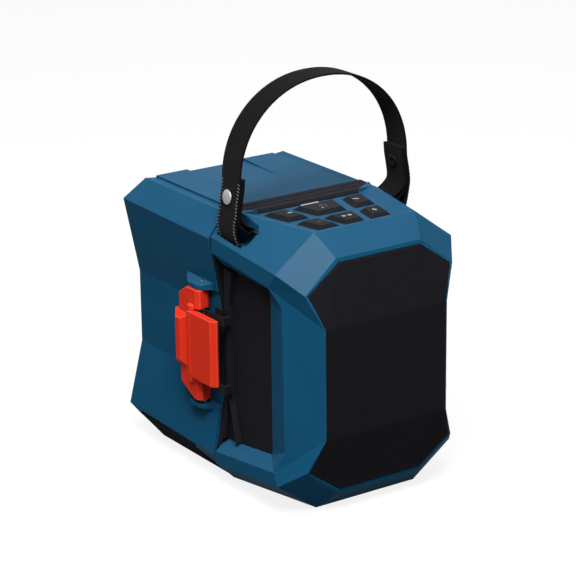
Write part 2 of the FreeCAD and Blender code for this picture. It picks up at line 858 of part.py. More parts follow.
def build_keys():
    """Each key has a flange that stays under the deck, a straight skirt and a tapered cap."""
    skirt = dim("key_skirt")
    for label, outline in key_outlines().items():
        body = pushed_body(label, [resized(outline, 1.0)], plan_view(FLOOR - skirt), "Dims.key_flange")
        skirt_sketch = new_sketch(body, "skirt")
        draw_outline(skirt_sketch, outline)
        pad(body, skirt_sketch, "Dims.key_skirt")
        cap_sketch = new_sketch(body, "cap", height=skirt)
        draw_outline(cap_sketch, outline)
        pad(body, cap_sketch, "Dims.key_rise").TaperAngle = -dim("key_taper")


def build_key_mat():
    low = FLOOR - dim("key_skirt") - dim("key_travel") - dim("mat_thickness") - 0.4
    corners = [(-35.6, 34.0), (35.6, 34.0), (49.0, 96.2), (-49.0, 96.2)]
    pushed_body("key_mat", [corners], plan_view(low), "Dims.mat_thickness")
    pushed_body("key_board", [corners], plan_view(low - dim("board_thickness") - 0.1), "Dims.board_thickness")


def build_status_light():
    lens = [rectangle((-8.0, 8.0), (96.8, 98.8))]
    pushed_body("status_light_bar", lens, plan_view(FLOOR - 1.4), "Dims.light_bar_height")


def trim_bar_outline(grow):
    right = [
        (46.0 + grow, 99.6 - grow),
        (60.0 + grow, 108.0 - grow),
        (65.0 + grow, 113.0 - grow),
        (65.0 + grow, 122.3 + grow),
    ]
    return right + [(-x, back) for x, back in reversed(right)]


def build_trim_bar():
    low, high = dim("trim_bar_base"), dim("trim_bar_top")
    outline = trim_bar_outline(0.0)
    lower = prism([at(x, back, low) for x, back in outline], Vector(0, 0, high - low - 1.6))
    upper = [at(x, back, high - 1.6) for x, back in outline]
    upper += [at(x * 0.985, min(max(back, 101.6), 121.6), high) for x, back in outline]
    bar = lower.fuse(hull(upper)).removeSplitter()
    for back in (107.4, 114.6):
        bar = bar.cut(box((-70.0, 70.0), (back, back + 1.3), (high - 0.9, high + 1)))
    add_feature("top_trim_bar", bar)


# Strap

STRAP_LEAN = 1.9
ARCH_POWER = 2.1
LEG_LINE = [(76.1, 131.0), (77.7, 122.0), (78.7, 113.0), (79.0, 106.0), (78.4, 99.5), (77.2, 94.6)]
LEG_LINE += [(75.6, 91.2), (74.2, 89.2)]


RETURN_LINE = [(71.5, 101.2), (74.6, 104.0), (76.4, 107.5), (77.0, 111.0), (77.1, 114.0)]
RETURN_LINE += [(76.1, 122.0), (74.5, 131.0), (73.8, 139.5)]


def leaned(side, line):
    """Puts a line of (half width, up) points on one side. The strap leans a little to the right."""
    return [(side * half + STRAP_LEAN * min(1.0, max(0.0, (up - 103.0) / 9.0)), up) for half, up in line]


def arch_line():
    """The centre line of the arch, a slightly squared half ellipse, from left to right."""
    half = dim("strap_half_width") - dim("strap_thickness") / 2
    rise = dim("strap_rise") - dim("strap_thickness") / 2
    line = []
    steps = 24
    for number in range(steps + 1):
        angle = math.pi * (1 - number / steps)
        across = half * math.copysign(abs(math.cos(angle)) ** (2 / ARCH_POWER), math.cos(angle))
        line.append((across + STRAP_LEAN, STRAP_CENTRE_UP + rise * math.sin(angle) ** (2 / ARCH_POWER)))
    return line


def loop_line():
    """The loop inside a leg: from its sewn end down, inwards, round the bar and back to the leg."""
    line = [(72.1, 139.5), (72.8, 131.0), (74.4, 122.0), (75.4, 114.0), (74.9, 110.0)]
    line += [(72.0, 106.6), (68.9, 104.2), (66.2, 102.6)]
    reach = dim("strap_bar_radius") + 0.15 + dim("strap_thickness") / 2
    for degrees in (60, 30, 0, -30, -60, -90, -115):
        angle = math.radians(degrees)
        line.append((BAR_X - reach * math.cos(angle), BAR_UP + reach * math.sin(angle)))
    return line + [(68.0, 98.7), (71.5, 101.2), (74.6, 104.0)]


def band(line, start):
    """Webbing pushed across its width, along a smooth curve through the line's points."""
    curve = Part.BSplineCurve()
    curve.interpolate([at(x, start, up) for x, up in line])
    first, last = curve.FirstParameter, curve.LastParameter
    left, right = [], []
    steps = 3 * len(line)
    for number in range(steps + 1):
        value = first + (last - first) * number / steps
        tangent = curve.tangent(value)[0]
        aside = Vector(tangent.z, 0, -tangent.x) * (dim("strap_thickness") / 2)
        left.append(curve.value(value) + aside)
        right.append(curve.value(value) - aside)
    return prism(left + right[::-1], Vector(0, dim("strap_width"), 0))


def build_strap():
    """The long layer with its arch, both ends tucked into the slots, and a loop sewn inside each leg."""
    start = STRAP_MIDDLE - dim("strap_width") / 2
    long_line = leaned(-1, LEG_LINE[::-1]) + arch_line() + leaned(1, LEG_LINE)
    layers = [band(long_line, start)]
    for side in (-1, 1):
        layers.append(band(leaned(side, loop_line()), start))
        layers.append(band(leaned(side, RETURN_LINE), start))
    add_feature("carry_strap", joined(layers))


def build_strap_bars():
    for label, side in (("strap_bar_left", -1), ("strap_bar_right", 1)):
        place = Placement(at(side * BAR_X, BAR_FRONT, BAR_UP), Rotation(Vector(1, 0, 0), -90))
        body = new_body(label, place)
        sketch = new_sketch(body, "circle")
        draw_circle(sketch, (0, 0), dim("strap_bar_radius"), "strap_bar_radius")
        pad(body, sketch, "Dims.strap_bar_length")


def build_strap_snaps():
    """Each snap is a flat cap outside the strap and a stud inside it, both square to the leg."""
    caps = []
    radius = dim("snap_radius")
    tilt = math.radians(SNAP_TILT)
    for side in (-1, 1):
        outwards = Vector(side * math.cos(tilt), 0, math.sin(tilt))
        outer = at(side * SNAP_OUTER + STRAP_LEAN, SNAP_BACK, SNAP_UP)
        inner = at(side * SNAP_INNER + STRAP_LEAN, SNAP_BACK, SNAP_UP + 2)
        rim = Part.makeCylinder(radius, 0.9, outer, outwards)
        dome = Part.makeCylinder(radius * 0.82, 0.7, outer + outwards * 0.8, outwards)
        caps.append(rim.fuse(dome).removeSplitter())
        caps.append(Part.makeCylinder(radius * 0.8, 1.2, inner, outwards * -1))
    add_feature("strap_snaps", Part.makeCompound(caps))


# Rear door

DOOR_TOP = 105.8
DOOR_BOTTOM = -105.6


def door_block(inset, front, waist_top=29.0, waist_low=-30.0):
    """The waisted block of the battery door, drawn in by a wall's thickness for its hollow."""
    rear = DEPTH - inset
    waist = WAIST - inset
    shoulder = HALF - inset * 1.1
    top = DOOR_TOP - inset
    bottom = DOOR_BOTTOM + inset
    upper = both_sides(64.5 - inset * 0.4, front, top) + both_sides(64.5 - inset * 0.4, 229.0 - inset, top)
    upper += both_sides(shoulder, front, 87.6 - inset * 0.4) + both_sides(shoulder, rear, 89.4 - inset * 0.4)
    upper += both_sides(waist, front, waist_top) + both_sides(waist, 234.6 - inset, waist_top)
    upper += both_sides(waist - 3.4, rear, waist_top)
    middle = []
    for up in (waist_top, waist_low):
        middle += both_sides(waist, front, up) + both_sides(waist, 234.6 - inset, up)
        middle += both_sides(waist - 3.4, rear, up)
    lower = both_sides(waist, front, waist_low) + both_sides(waist, 234.6 - inset, waist_low)
    lower += both_sides(waist - 3.4, rear, waist_low)
    lower += both_sides(shoulder, front, -86.0 + inset * 0.4)
    lower += both_sides(shoulder, rear, -82.0 + inset * 0.4)
    lower += both_sides(64.0 - inset * 0.4, front, bottom)
    lower += both_sides(63.0 - inset * 0.4, 222.0 - inset, bottom)
    lower += both_sides(72.0 - inset, rear, -92.0 + inset)
    return joined([hull(upper), hull(middle), hull(lower)])


LUG_REAR = 150.0
UPPER_LUG = (43.6, 47.0)
LOWER_LUG = (-52.4, -49.0)
LUG_EDGE = [(-79.6, 127.6), (-81.6, 132.0), (-81.6, 143.6)]


def door_lug(low, high, root, rear_corners):
    """One ear of the latch hinge on the left side of the door."""
    outline = [(root, 120.6)] + LUG_EDGE + rear_corners
    return prism([at(x, back, low) for x, back in outline], Vector(0, 0, high - low))


def latch_ears():
    """The upper ear is longer, and its top slopes up to the wall."""
    rear = [(-73.0, 159.0), (-70.2, 159.0)]
    upper = door_lug(*UPPER_LUG, -70.2, rear)
    top = UPPER_LUG[1]
    rise = [at(x, back, top) for x, back in LUG_EDGE]
    for up in (top - 1.0, top + 3.0):
        rise += [at(-72.0, back, up) for back in (121.4, 159.0)]
    lower = door_lug(*LOWER_LUG, -71.0, [(-77.6, LUG_REAR), (-71.0, LUG_REAR)])
    radius = dim("latch_pin_radius") + 0.02
    hole = upright_cylinder(radius, dim("latch_axis_x"), dim("latch_axis_back"), (LOWER_LUG[0] - 1, top + 6))
    return upper.fuse(hull(rise)).fuse(lower), hole


def build_rear_cover():
    front = dim("door_front")
    wall = dim("shell_wall")
    door = door_block(0.0, front).cut(door_block(wall, front - 5.0, 47.0, -53.0))
    door = door.cut(box((-95.0, -WAIST - 0.2), (front - 1, LUG_REAR), (LOWER_LUG[1], UPPER_LUG[0])))
    ears, hole = latch_ears()
    door = door.fuse(ears).cut(hole)
    door = door.fuse(hinge_knuckle(*DOOR_KNUCKLE, (116.6, 119.4)))
    bore = dim("hinge_pin_radius") + dim("running_clearance")
    door = door.cut(upright_cylinder(bore, dim("hinge_axis_x"), dim("hinge_axis_back"), (-20, 20)))
    door = door.cut(box((-65.4, 65.4), (front - 1, 122.7), (102.4, 107.0)))
    for side in (-1, 1):
        section = [(54.8, DOOR_TOP - 1.9), (64.6, DOOR_TOP - 0.5), (64.6, DOOR_TOP + 1), (54.8, DOOR_TOP + 1)]
        corners = [at(side * x, 128.0, up) for x, up in section]
        door = door.cut(prism(corners, Vector(0, 103.0, 0)))
    dip = both_sides(22.0, 171.0, DOOR_TOP + 0.01) + both_sides(27.0, 232.0, DOOR_TOP - 2.2)
    dip += both_sides(22.0, 171.0, DOOR_TOP + 3) + both_sides(27.0, 232.0, DOOR_TOP + 3)
    door = door.cut(hull(dip))
    add_feature("rear_cover", door.removeSplitter())


def build_rear_skid():
    """The dark foot under the door, with edges that run up the lower chamfers."""
    drop = -MID
    outer = both_sides(61.8, 124.0, drop) + both_sides(61.6, 218.4, drop)
    outer += both_sides(78.6, 124.0, -87.6) + both_sides(77.4, 228.0, -87.6)
    outer += both_sides(66.0, 231.0, -99.4)
    inner = door_block(-0.2, dim("door_front") - 5)
    body = hull(outer).cut(inner)
    solids = sorted(body.Solids, key=lambda s: s.Volume)
    add_feature("rear_skid", solids[-1])


def base_pad_seat():
    half_width, half_length = dim("base_pad_width") / 2 + 0.2, dim("base_pad_length") / 2 + 0.2
    top = -MID + dim("base_pad_thickness") + 0.1
    return box((-half_width, half_width), (70 - half_length, 70 + half_length), (-109.0, top))


def build_base_pad():
    body = new_body("base_pad", Placement(Vector(0, 0, 0), Rotation()))
    sketch = new_sketch(body, "outline")
    draw_rectangle(sketch, "base_pad_width", "base_pad_length")
    pad(body, sketch, "Dims.base_pad_thickness")


# Latch

def build_latch_pin():
    low = LOWER_LUG[0] - 0.3
    body = new_body("latch_pin", Placement(at(dim("latch_axis_x"), dim("latch_axis_back"), low), Rotation()))
    sketch = new_sketch(body, "circle")
    draw_circle(sketch, (0, 0), dim("latch_pin_radius"), "latch_pin_radius")
    pad(body, sketch, "Dims.latch_pin_length")


def lever_arm(low, high):
    """One end of the lever, from its barrel round the pin back to the grip."""
    x, back = dim("latch_axis_x"), dim("latch_axis_back")
    barrel = upright_cylinder(4.7, x, back, (low, high))
    outline = [
        (x + 1.4, back - 4.4), (x - 6.2, back - 5.8), (x - 8.4, back - 2.2), (x - 8.4, back + 20.5),
        (x - 4.6, back + 25.0), (x - 1.0, back + 25.0), (x + 1.2, back + 4.4),
    ]
    web = prism([at(px, pb, low) for px, pb in outline], Vector(0, 0, high - low))
    return barrel.fuse(web)


def across_latch(points):
    """A wedge that runs right across the latch, from its (back, up) outline."""
    return hull([at(x, back, up) for back, up in points for x in (-100.0, -60.0)])


def lever_grip():
    """The plate between the arms, and the raised bar on it, with its ends bevelled outwards."""
    x, back = dim("latch_axis_x"), dim("latch_axis_back")
    start = dim("hook_axis_back") + 3.8
    plate = [
        (x - 1.2, start), (x - 8.4, start), (x - 8.4, back + 20.5),
        (x - 4.6, back + 25.0), (x - 1.2, back + 25.0),
    ]
    bar = [
        (x - 8.0, start), (x - 8.6, start), (x - 12.6, back + 14.5), (x - 12.6, back + 20.5),
        (x - 8.0, back + 27.0), (x - 4.4, back + 27.0), (x - 4.4, back + 20.0), (x - 8.0, back + 18.0),
    ]
    grip = prism([at(px, pb, -28.4) for px, pb in plate], Vector(0, 0, 56.8))
    raised = prism([at(px, pb, -22.0) for px, pb in bar], Vector(0, 0, 44.0))
    for sign in (-1, 1):
        bevel = []
        for place in (start - 1, 165.0):
            bevel += [at(-100, place, sign * 22.1), at(x - 7.9, place, sign * 22.1)]
            bevel += [at(-100, place, sign * 13.0), at(x - 12.3, place, sign * 17.4)]
        raised = raised.cut(hull(bevel))
    return grip.fuse(raised)


def build_latch_lever():
    x, back = dim("latch_axis_x"), dim("latch_axis_back")
    top_bevel = across_latch([(back + 10, 43.3), (back + 30, 43.3), (back + 30, 30.0)])
    low_bevel = across_latch([(back + 2, -45.6), (back + 30, -45.6), (back + 30, -30.4)])
    upper = lever_arm(28.3, 43.2).cut(top_bevel)
    lower = lever_arm(-45.4, -28.3).cut(low_bevel)
    lever = upper.fuse(lower).fuse(lever_grip())
    bore = dim("latch_pin_radius") + dim("running_clearance")
    lever = lever.cut(upright_cylinder(bore, x, back, (-60, 60)))
    hook_x, hook_back = dim("hook_axis_x"), dim("hook_axis_back")
    for low, high in ((26.6, 30.8), (-30.8, -26.6)):
        lever = lever.fuse(upright_cylinder(2.9, hook_x, hook_back, (low, high)))
    for low, high in ((26.0, 30.4), (-30.4, -26.0)):
        lever = lever.cut(upright_cylinder(dim("hook_pin_radius") + 0.02, hook_x, hook_back, (low, high)))
    add_feature("latch_lever", lever.removeSplitter())


def build_hook_pin():
    body = new_body("hook_pin", Placement(at(dim("hook_axis_x"), dim("hook_axis_back"), 0), Rotation()))
    sketch = new_sketch(body, "circle")
    draw_circle(sketch, (0, 0), dim("hook_pin_radius"), "hook_pin_radius")
    pad(body, sketch, "Dims.hook_pin_length", both_ways=True)


CLAW_TOP = 30.6
PLATE_OUTER = -87.0
PLATE_INNER = -81.4


def build_latch_plate():
    tall = dim("plate_half_height")
    x, back = dim("hook_axis_x"), dim("hook_axis_back")
    outline = [
        (PLATE_INNER, 102.4), (PLATE_INNER - 2.0, 101.6), (PLATE_OUTER, 105.6), (PLATE_OUTER, back - 4.0),
        (PLATE_OUTER + 1.0, back - 3.0), (x, back - 2.6), (PLATE_INNER, back - 2.6),
    ]
    plate = prism([at(px, pb, -tall) for px, pb in outline], Vector(0, 0, 2 * tall))
    knuckle = upright_cylinder(3.3, x, back, (-tall, tall))
    plate = plate.fuse(knuckle)
    for sign in (-1, 1):
        bevel = []
        for place in (100.0, 145.0):
            bevel += [at(-100, place, sign * 21.0), at(-100, place, sign * 40.0)]
            bevel += [at(PLATE_OUTER + 1.6, place, sign * 28.5), at(PLATE_OUTER + 1.6, place, sign * 40.0)]
        plate = plate.cut(hull(bevel))
    plate = plate.cut(upright_cylinder(dim("hook_pin_radius") + dim("running_clearance"), x, back, (-60, 60)))
    add_feature("latch_plate", plate.removeSplitter())


def build_latch_claws():
    """The two dark claws on the back of the plate, whose tips lie beside the side post."""
    outer, inner = PLATE_INNER + 0.1, PLATE_INNER + 1.7
    outline = [(outer, 95.2), (-74.8, 95.2), (-74.8, 98.0), (inner, 98.0), (inner, 119.0), (outer, 119.0)]
    body = pushed_body("latch_claws", [outline], plan_view(-CLAW_TOP), "Dims.claw_height")
    upper = new_sketch(body, "upper", height=2 * CLAW_TOP - dim("claw_height"))
    draw_outline(upper, outline)
    pad(body, upper, "Dims.claw_height")


def check_and_write():
    doc.recompute()
    os.makedirs("parts", exist_ok=True)
    for item in doc.Objects:
        if any(word in item.State for word in ("Invalid", "Error")):
            raise SystemExit("%s failed: %s" % (item.Name, item.State))
    for part in SUBPARTS:
        shape = part.Shape
        if shape.isNull() or not shape.isValid() or not shape.Solids:
            raise SystemExit("%s has no valid solid" % part.Label)
        shape.exportStep("parts/%s.step" % part.Label)
    print("%d sub-parts written" % len(SUBPARTS))


def main():
    build_front_housing()
    build_front_grille()
    build_baffle()
    build_woofer()
    build_tweeter()
    build_driver_screws()
    build_mid_frame()
    build_side_panels()
    build_bay_seal()
    build_frame_screws()
    build_hinge_pin()
    build_battery_dock()
    build_battery_rails()
    build_terminal_block()
    build_main_board()
    build_wires()
    build_keys()
    build_key_mat()
    build_status_light()
    build_trim_bar()
    build_strap()
    build_strap_bars()
    build_strap_snaps()
    build_rear_cover()
    build_rear_skid()
    build_base_pad()
    build_latch_pin()
    build_latch_lever()
    build_hook_pin()
    build_latch_plate()
    build_latch_claws()
    check_and_write()


main()
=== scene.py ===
import math

import bmesh
import bpy
from mathutils import Matrix, Vector


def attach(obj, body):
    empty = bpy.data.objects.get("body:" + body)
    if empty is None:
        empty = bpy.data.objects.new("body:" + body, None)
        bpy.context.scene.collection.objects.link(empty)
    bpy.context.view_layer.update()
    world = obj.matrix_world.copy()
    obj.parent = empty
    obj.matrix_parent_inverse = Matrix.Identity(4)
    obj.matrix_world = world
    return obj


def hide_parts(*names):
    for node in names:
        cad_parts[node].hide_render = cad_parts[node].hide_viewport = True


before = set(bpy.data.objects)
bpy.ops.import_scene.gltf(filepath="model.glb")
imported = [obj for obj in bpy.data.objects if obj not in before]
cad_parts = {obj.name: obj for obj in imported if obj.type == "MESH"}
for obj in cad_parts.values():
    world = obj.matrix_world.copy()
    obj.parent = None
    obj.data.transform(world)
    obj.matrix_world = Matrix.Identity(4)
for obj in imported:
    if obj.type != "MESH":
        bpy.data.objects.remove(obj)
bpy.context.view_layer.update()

# Lengths are in millimetres, but the camera, the grain of the materials, the floor and the lights
# use metres.

MM = 0.001
FRONT_BACK = 70.0
MID_UP = 108.5


def at(x, back, up):
    """A point in metres from millimetres behind the front face and above mid height."""
    return Vector((x, back - FRONT_BACK, up + MID_UP)) * MM


def srgb(red, green, blue):
    """A colour picked on screen, from 0 to 255, as linear values."""
    linear = []
    for value in (red, green, blue):
        share = value / 255.0
        linear.append(share / 12.92 if share <= 0.04045 else ((share + 0.055) / 1.055) ** 2.4)
    return (*linear, 1.0)


# Camera

CAMERA_PLACE = Vector((-1.005866, -1.419034, 0.747527))
CAMERA_AZIMUTH = -34.247
CAMERA_ELEVATION = 18.844
CAMERA_ROLL = -0.678
LENS_MM = 152.71
SENSOR_MM = 36.0


def make_camera():
    azimuth = math.radians(CAMERA_AZIMUTH)
    elevation = math.radians(CAMERA_ELEVATION)
    roll = math.radians(CAMERA_ROLL)
    back = Vector((
        math.sin(azimuth) * math.cos(elevation),
        -math.cos(azimuth) * math.cos(elevation),
        math.sin(elevation),
    ))
    right = Vector((math.cos(azimuth), math.sin(azimuth), 0.0))
    up = back.cross(right)
    rolled_right = right * math.cos(roll) + up * math.sin(roll)
    rolled_up = up * math.cos(roll) - right * math.sin(roll)
    data = bpy.data.cameras.new("camera")
    data.lens = LENS_MM
    data.sensor_width = SENSOR_MM
    data.clip_start = 0.05
    data.clip_end = 50.0
    camera = bpy.data.objects.new("camera", data)
    rotation = Matrix((rolled_right, rolled_up, back)).transposed().to_4x4()
    camera.matrix_world = Matrix.Translation(CAMERA_PLACE) @ rotation
    bpy.context.scene.collection.objects.link(camera)
    bpy.context.scene.camera = camera


# Materials

# Most of a noise lies between its low and high value. An edge starts to show where the softened and
# the plain normal agree less than EDGE_STARTS. The Mix node's colour sockets share their names with
# other sockets, so they are taken by number.

NOISE_LOW = 0.3
NOISE_HIGH = 0.7
EDGE_STARTS = 0.995
EDGE_FULL = 0.93
MIX_FIRST = 6
MIX_SECOND = 7
MIX_RESULT = 2


class Nodes:
    """Short names for building one material's nodes."""

    def __init__(self, name):
        self.material = bpy.data.materials.new(name)
        self.material.use_nodes = True
        self.tree = self.material.node_tree
        self.shader = self.tree.nodes["Principled BSDF"]

    def add(self, kind, **values):
        node = self.tree.nodes.new("ShaderNode" + kind)
        for key, value in values.items():
            setattr(node, key, value)
        return node

    def link(self, source, target):
        self.tree.links.new(source, target)

    def set(self, socket, value):
        self.shader.inputs[socket].default_value = value

    def coordinates(self, kind="Object"):
        return self.add("TexCoord").outputs[kind]

    def noise(self, vector, scale, detail=3.0, roughness=0.55):
        node = self.add("TexNoise")
        node.inputs["Scale"].default_value = scale
        node.inputs["Detail"].default_value = detail
        node.inputs["Roughness"].default_value = roughness
        self.link(vector, node.inputs["Vector"])
        return node.outputs["Fac"]

    def math(self, operation, first, second=None):
        node = self.add("Math", operation=operation)
        for number, value in enumerate((first, second)):
            if value is None:
                continue
            if isinstance(value, (int, float)):
                node.inputs[number].default_value = value
            else:
                self.link(value, node.inputs[number])
        return node.outputs[0]

    def remap(self, value, from_low, from_high, to_low, to_high):
        node = self.add("MapRange")
        sockets = ("From Min", "From Max", "To Min", "To Max")
        for socket, number in zip(sockets, (from_low, from_high, to_low, to_high)):
            node.inputs[socket].default_value = number
        self.link(value, node.inputs["Value"])
        return node.outputs["Result"]

    def spread(self, noise, low, high):
        """Stretches the range where most of a noise lies to the given one."""
        return self.remap(noise, NOISE_LOW, NOISE_HIGH, low, high)

    def mix(self, share, first, second):
        node = self.add("Mix", data_type="RGBA")
        self.link(share, node.inputs["Factor"])
        for socket, value in ((node.inputs[MIX_FIRST], first), (node.inputs[MIX_SECOND], second)):
            if isinstance(value, tuple):
                socket.default_value = value
            else:
                self.link(value, socket)
        return node.outputs[MIX_RESULT]

    def soft_normal(self, radius):
        node = self.add("Bevel", samples=6)
        node.inputs["Radius"].default_value = radius
        return node.outputs["Normal"]

    def edge_mask(self, soft):
        """Is 1 on a sharp edge and 0 on the flats."""
        geometry = self.add("NewGeometry")
        dot = self.add("VectorMath", operation="DOT_PRODUCT")
        self.link(soft, dot.inputs[0])
        self.link(geometry.outputs["Normal"], dot.inputs[1])
        return self.remap(dot.outputs["Value"], EDGE_STARTS, EDGE_FULL, 0.0, 1.0)

    def bump(self, height, distance, strength, normal=None):
        node = self.add("Bump")
        node.inputs["Strength"].default_value = strength
        node.inputs["Distance"].default_value = distance
        self.link(height, node.inputs["Height"])
        if normal is not None:
            self.link(normal, node.inputs["Normal"])
        self.link(node.outputs["Normal"], self.shader.inputs["Normal"])


def scaled(colour, factor):
    return tuple(min(1.0, value * factor) for value in colour[:3]) + (1.0,)


CLOUD_SCALE = 38.0
# The scale of the unevenness in the painted edge highlight.
HIGHLIGHT_SCALE = 160.0


def painted_top_sheen(m, shade, cloud, amount):
    """Paints a pale sheen on what faces up: a painted reflection that lightens the upward faces."""
    rise = m.add("SeparateXYZ")
    m.link(m.add("NewGeometry").outputs["Normal"], rise.inputs[0])
    sheen_share = m.remap(rise.outputs["Z"], 0.25, 0.8, 0.0, amount)
    return m.mix(m.math("MULTIPLY", sheen_share, m.spread(cloud, 0.8, 1.2)), shade, PAINTED_SHEEN)


def painted_edge_highlight(m, shade, where, soft, highlight_colour, strength):
    """Paints an uneven pale highlight along the sharp edges."""
    uneven = m.spread(m.noise(where, HIGHLIGHT_SCALE), 0.4, 1.0)
    share = m.math("MULTIPLY", m.edge_mask(soft), uneven)
    return m.mix(m.math("MULTIPLY", share, strength), shade, highlight_colour)


def moulded(name, colour, roughness, highlight_colour=None, edge_radius=0.0005, grain=1600.0,
            grain_depth=0.00004, variation=0.07, coat=0.0, specular=0.5, highlight_strength=0.6, top_sheen=0.0):
    """Moulded plastic or rubber: fine grain, slight unevenness and softly rounded edges with a painted
    highlight along them.
    """
    m = Nodes(name)
    where = m.coordinates()
    cloud = m.noise(where, CLOUD_SCALE, 4.0)
    fine = m.noise(where, grain, 2.0)
    shade = m.mix(cloud, scaled(colour, 1.0 - variation), scaled(colour, 1.0 + variation))
    # A painted sheen lightens the upward faces.
    if top_sheen:
        shade = painted_top_sheen(m, shade, cloud, top_sheen)
    soft = m.soft_normal(edge_radius)
    if highlight_colour is not None:
        shade = painted_edge_highlight(m, shade, where, soft, highlight_colour, highlight_strength)
    m.link(shade, m.shader.inputs["Base Color"])
    m.link(m.spread(fine, roughness - 0.05, roughness + 0.06), m.shader.inputs["Roughness"])
    m.set("Coat Weight", coat)
    m.set("Coat Roughness", 0.25)
    m.set("Specular IOR Level", specular)
    m.bump(fine, grain_depth, 0.6, soft)
    return m.material


METAL_GRAIN = 2200.0
BRUSH_STRETCH = (1.0, 1.0, 0.04)


def metal(name, colour, roughness, brushed=False):
    """Bare or painted metal with a fine grain, drawn out along Z where it is brushed."""
    m = Nodes(name)
    where = m.coordinates()
    if brushed:
        stretch = m.add("Mapping")
        stretch.inputs["Scale"].default_value = BRUSH_STRETCH
        m.link(where, stretch.inputs["Vector"])
        where = stretch.outputs["Vector"]
    fine = m.noise(where, METAL_GRAIN)
    m.link(m.mix(fine, scaled(colour, 0.9), scaled(colour, 1.06)), m.shader.inputs["Base Color"])
    m.link(m.spread(fine, roughness - 0.06, roughness + 0.08), m.shader.inputs["Roughness"])
    m.set("Metallic", 1.0)
    m.bump(fine, 0.00001, 0.4, m.soft_normal(0.0003))
    return m.material


CHEVRON_WIDTH = 0.0031
YARN_PITCH = 0.0015
COLUMN_PITCH = 0.00155
FUZZ_SCALE = 900.0
DARK_EDGE_FROM = 0.2
DARK_EDGE_TO = 0.5


def woven(name, dark, light):
    """Herringbone webbing, drawn in the strap's own length and width. Its side edges stay dark."""
    m = Nodes(name)
    split = m.add("SeparateXYZ")
    m.link(m.coordinates("UV"), split.inputs[0])
    across, along = split.outputs["X"], split.outputs["Y"]
    turn = 2.0 * math.pi
    stripe = m.math("PINGPONG", across, CHEVRON_WIDTH)
    diagonal = m.math("SINE", m.math("MULTIPLY", m.math("ADD", along, stripe), turn / YARN_PITCH))
    ribs = m.math("SINE", m.math("MULTIPLY", across, turn / COLUMN_PITCH))
    weave = m.math("ADD", m.math("MULTIPLY", diagonal, 0.6), m.math("MULTIPLY", ribs, 0.4))
    fuzz = m.noise(m.coordinates(), FUZZ_SCALE, 4.0)
    height = m.math("ADD", weave, m.math("MULTIPLY", fuzz, 0.8))
    off_centre = m.math("ABSOLUTE", m.math("SUBTRACT", across, STRAP_WIDTH * MM))
    half = STRAP_WIDTH / 2
    inner = m.remap(off_centre, (half - DARK_EDGE_TO) * MM, (half - DARK_EDGE_FROM) * MM, 1.0, 0.0)
    share = m.math("MULTIPLY", m.remap(height, -0.6, 1.5, 0.0, 1.0), inner)
    m.link(m.mix(share, dark, light), m.shader.inputs["Base Color"])
    m.set("Roughness", 0.82)
    m.set("Sheen Weight", 0.06)
    m.set("Sheen Roughness", 0.5)
    m.set("Specular IOR Level", 0.02)
    m.bump(height, 0.00012, 0.9)
    return m.material


# Colours, and the materials that use them

# The pale colour of the painted sheen on upward faces.
PAINTED_SHEEN = srgb(150, 158, 178)
BLUE = srgb(23, 86, 121)
# The pale edge colours for blue, red, black and the keys are painted highlights on sharp edges.
BLUE_HIGHLIGHT = srgb(84, 140, 174)
RED = srgb(250, 58, 34)
RED_HIGHLIGHT = srgb(255, 140, 110)
BLACK = srgb(36, 36, 41)
BLACK_HIGHLIGHT = srgb(78, 80, 86)
GRILLE_BLACK = srgb(32, 31, 36)
CLAW_BLACK = srgb(30, 31, 33)
KEY_GREY = srgb(33, 35, 39)
KEY_HIGHLIGHT = srgb(88, 92, 98)
WHITE = srgb(214, 217, 220)


def make_materials():
    return {
        # The shell gets a painted sheen on its upward faces.
        "shell": moulded("shell_blue_plastic", BLUE, 0.45, BLUE_HIGHLIGHT, 0.0006, specular=0.02,
                         highlight_strength=0.35, top_sheen=0.035),
        "latch": moulded("latch_red_plastic", RED, 0.38, RED_HIGHLIGHT, 0.0011, specular=0.03,
                         highlight_strength=0.8),
        "frame": moulded("frame_black_plastic", BLACK, 0.5, BLACK_HIGHLIGHT, specular=0.01, highlight_strength=0.35),
        "claw": moulded("claw_black_plastic", CLAW_BLACK, 0.42, BLACK_HIGHLIGHT, 0.0004, specular=0.03),
        "inner": moulded("inner_black_plastic", srgb(28, 29, 31), 0.55),
        "rubber": moulded("rubber_black", srgb(26, 29, 34), 0.75, grain=900.0, grain_depth=0.00008,
                          specular=0.02),
        "key": moulded("key_grey_rubber", KEY_GREY, 0.5, KEY_HIGHLIGHT, specular=0.02, highlight_strength=0.5),
        "icon": moulded("icon_white_print", WHITE, 0.5, variation=0.03, specular=0.1),
        "faint_icon": moulded("icon_grey_print", srgb(112, 114, 118), 0.5, variation=0.03, specular=0.1),
        "lens": moulded("lens_white_plastic", srgb(196, 200, 204), 0.25, variation=0.02, coat=0.2,
                        specular=0.2),
        "grille": moulded("grille_black_paint", GRILLE_BLACK, 0.5, BLACK_HIGHLIGHT, 0.00015, specular=0.02,
                          highlight_strength=0.3),
        "cloth": moulded("grille_cloth", srgb(36, 35, 40), 0.9, grain=2400.0, specular=0.02),
        "cone": moulded("cone_paper", srgb(30, 31, 33), 0.8, grain=1200.0, specular=0.2),
        "board": moulded("board_green", srgb(30, 86, 54), 0.45),
        "thread": moulded("thread_grey", srgb(150, 148, 150), 0.8, specular=0.05),
        "steel": metal("steel_bright", srgb(176, 179, 184), 0.32, brushed=True),
        "dark_steel": metal("steel_black", srgb(58, 60, 64), 0.45),
        "snap": metal("snap_nickel", srgb(200, 201, 203), 0.42),
        # Dark paint for the studs; on the snap rims it is painted shade.
        "snap_dark": moulded("snap_black_paint", srgb(22, 22, 24), 0.4, BLACK_HIGHLIGHT, 0.0003, specular=0.1),
        "brass": metal("contact_brass", srgb(186, 150, 84), 0.35),
        "webbing": woven("webbing_black", srgb(10, 10, 12), srgb(23, 22, 26)),
    }


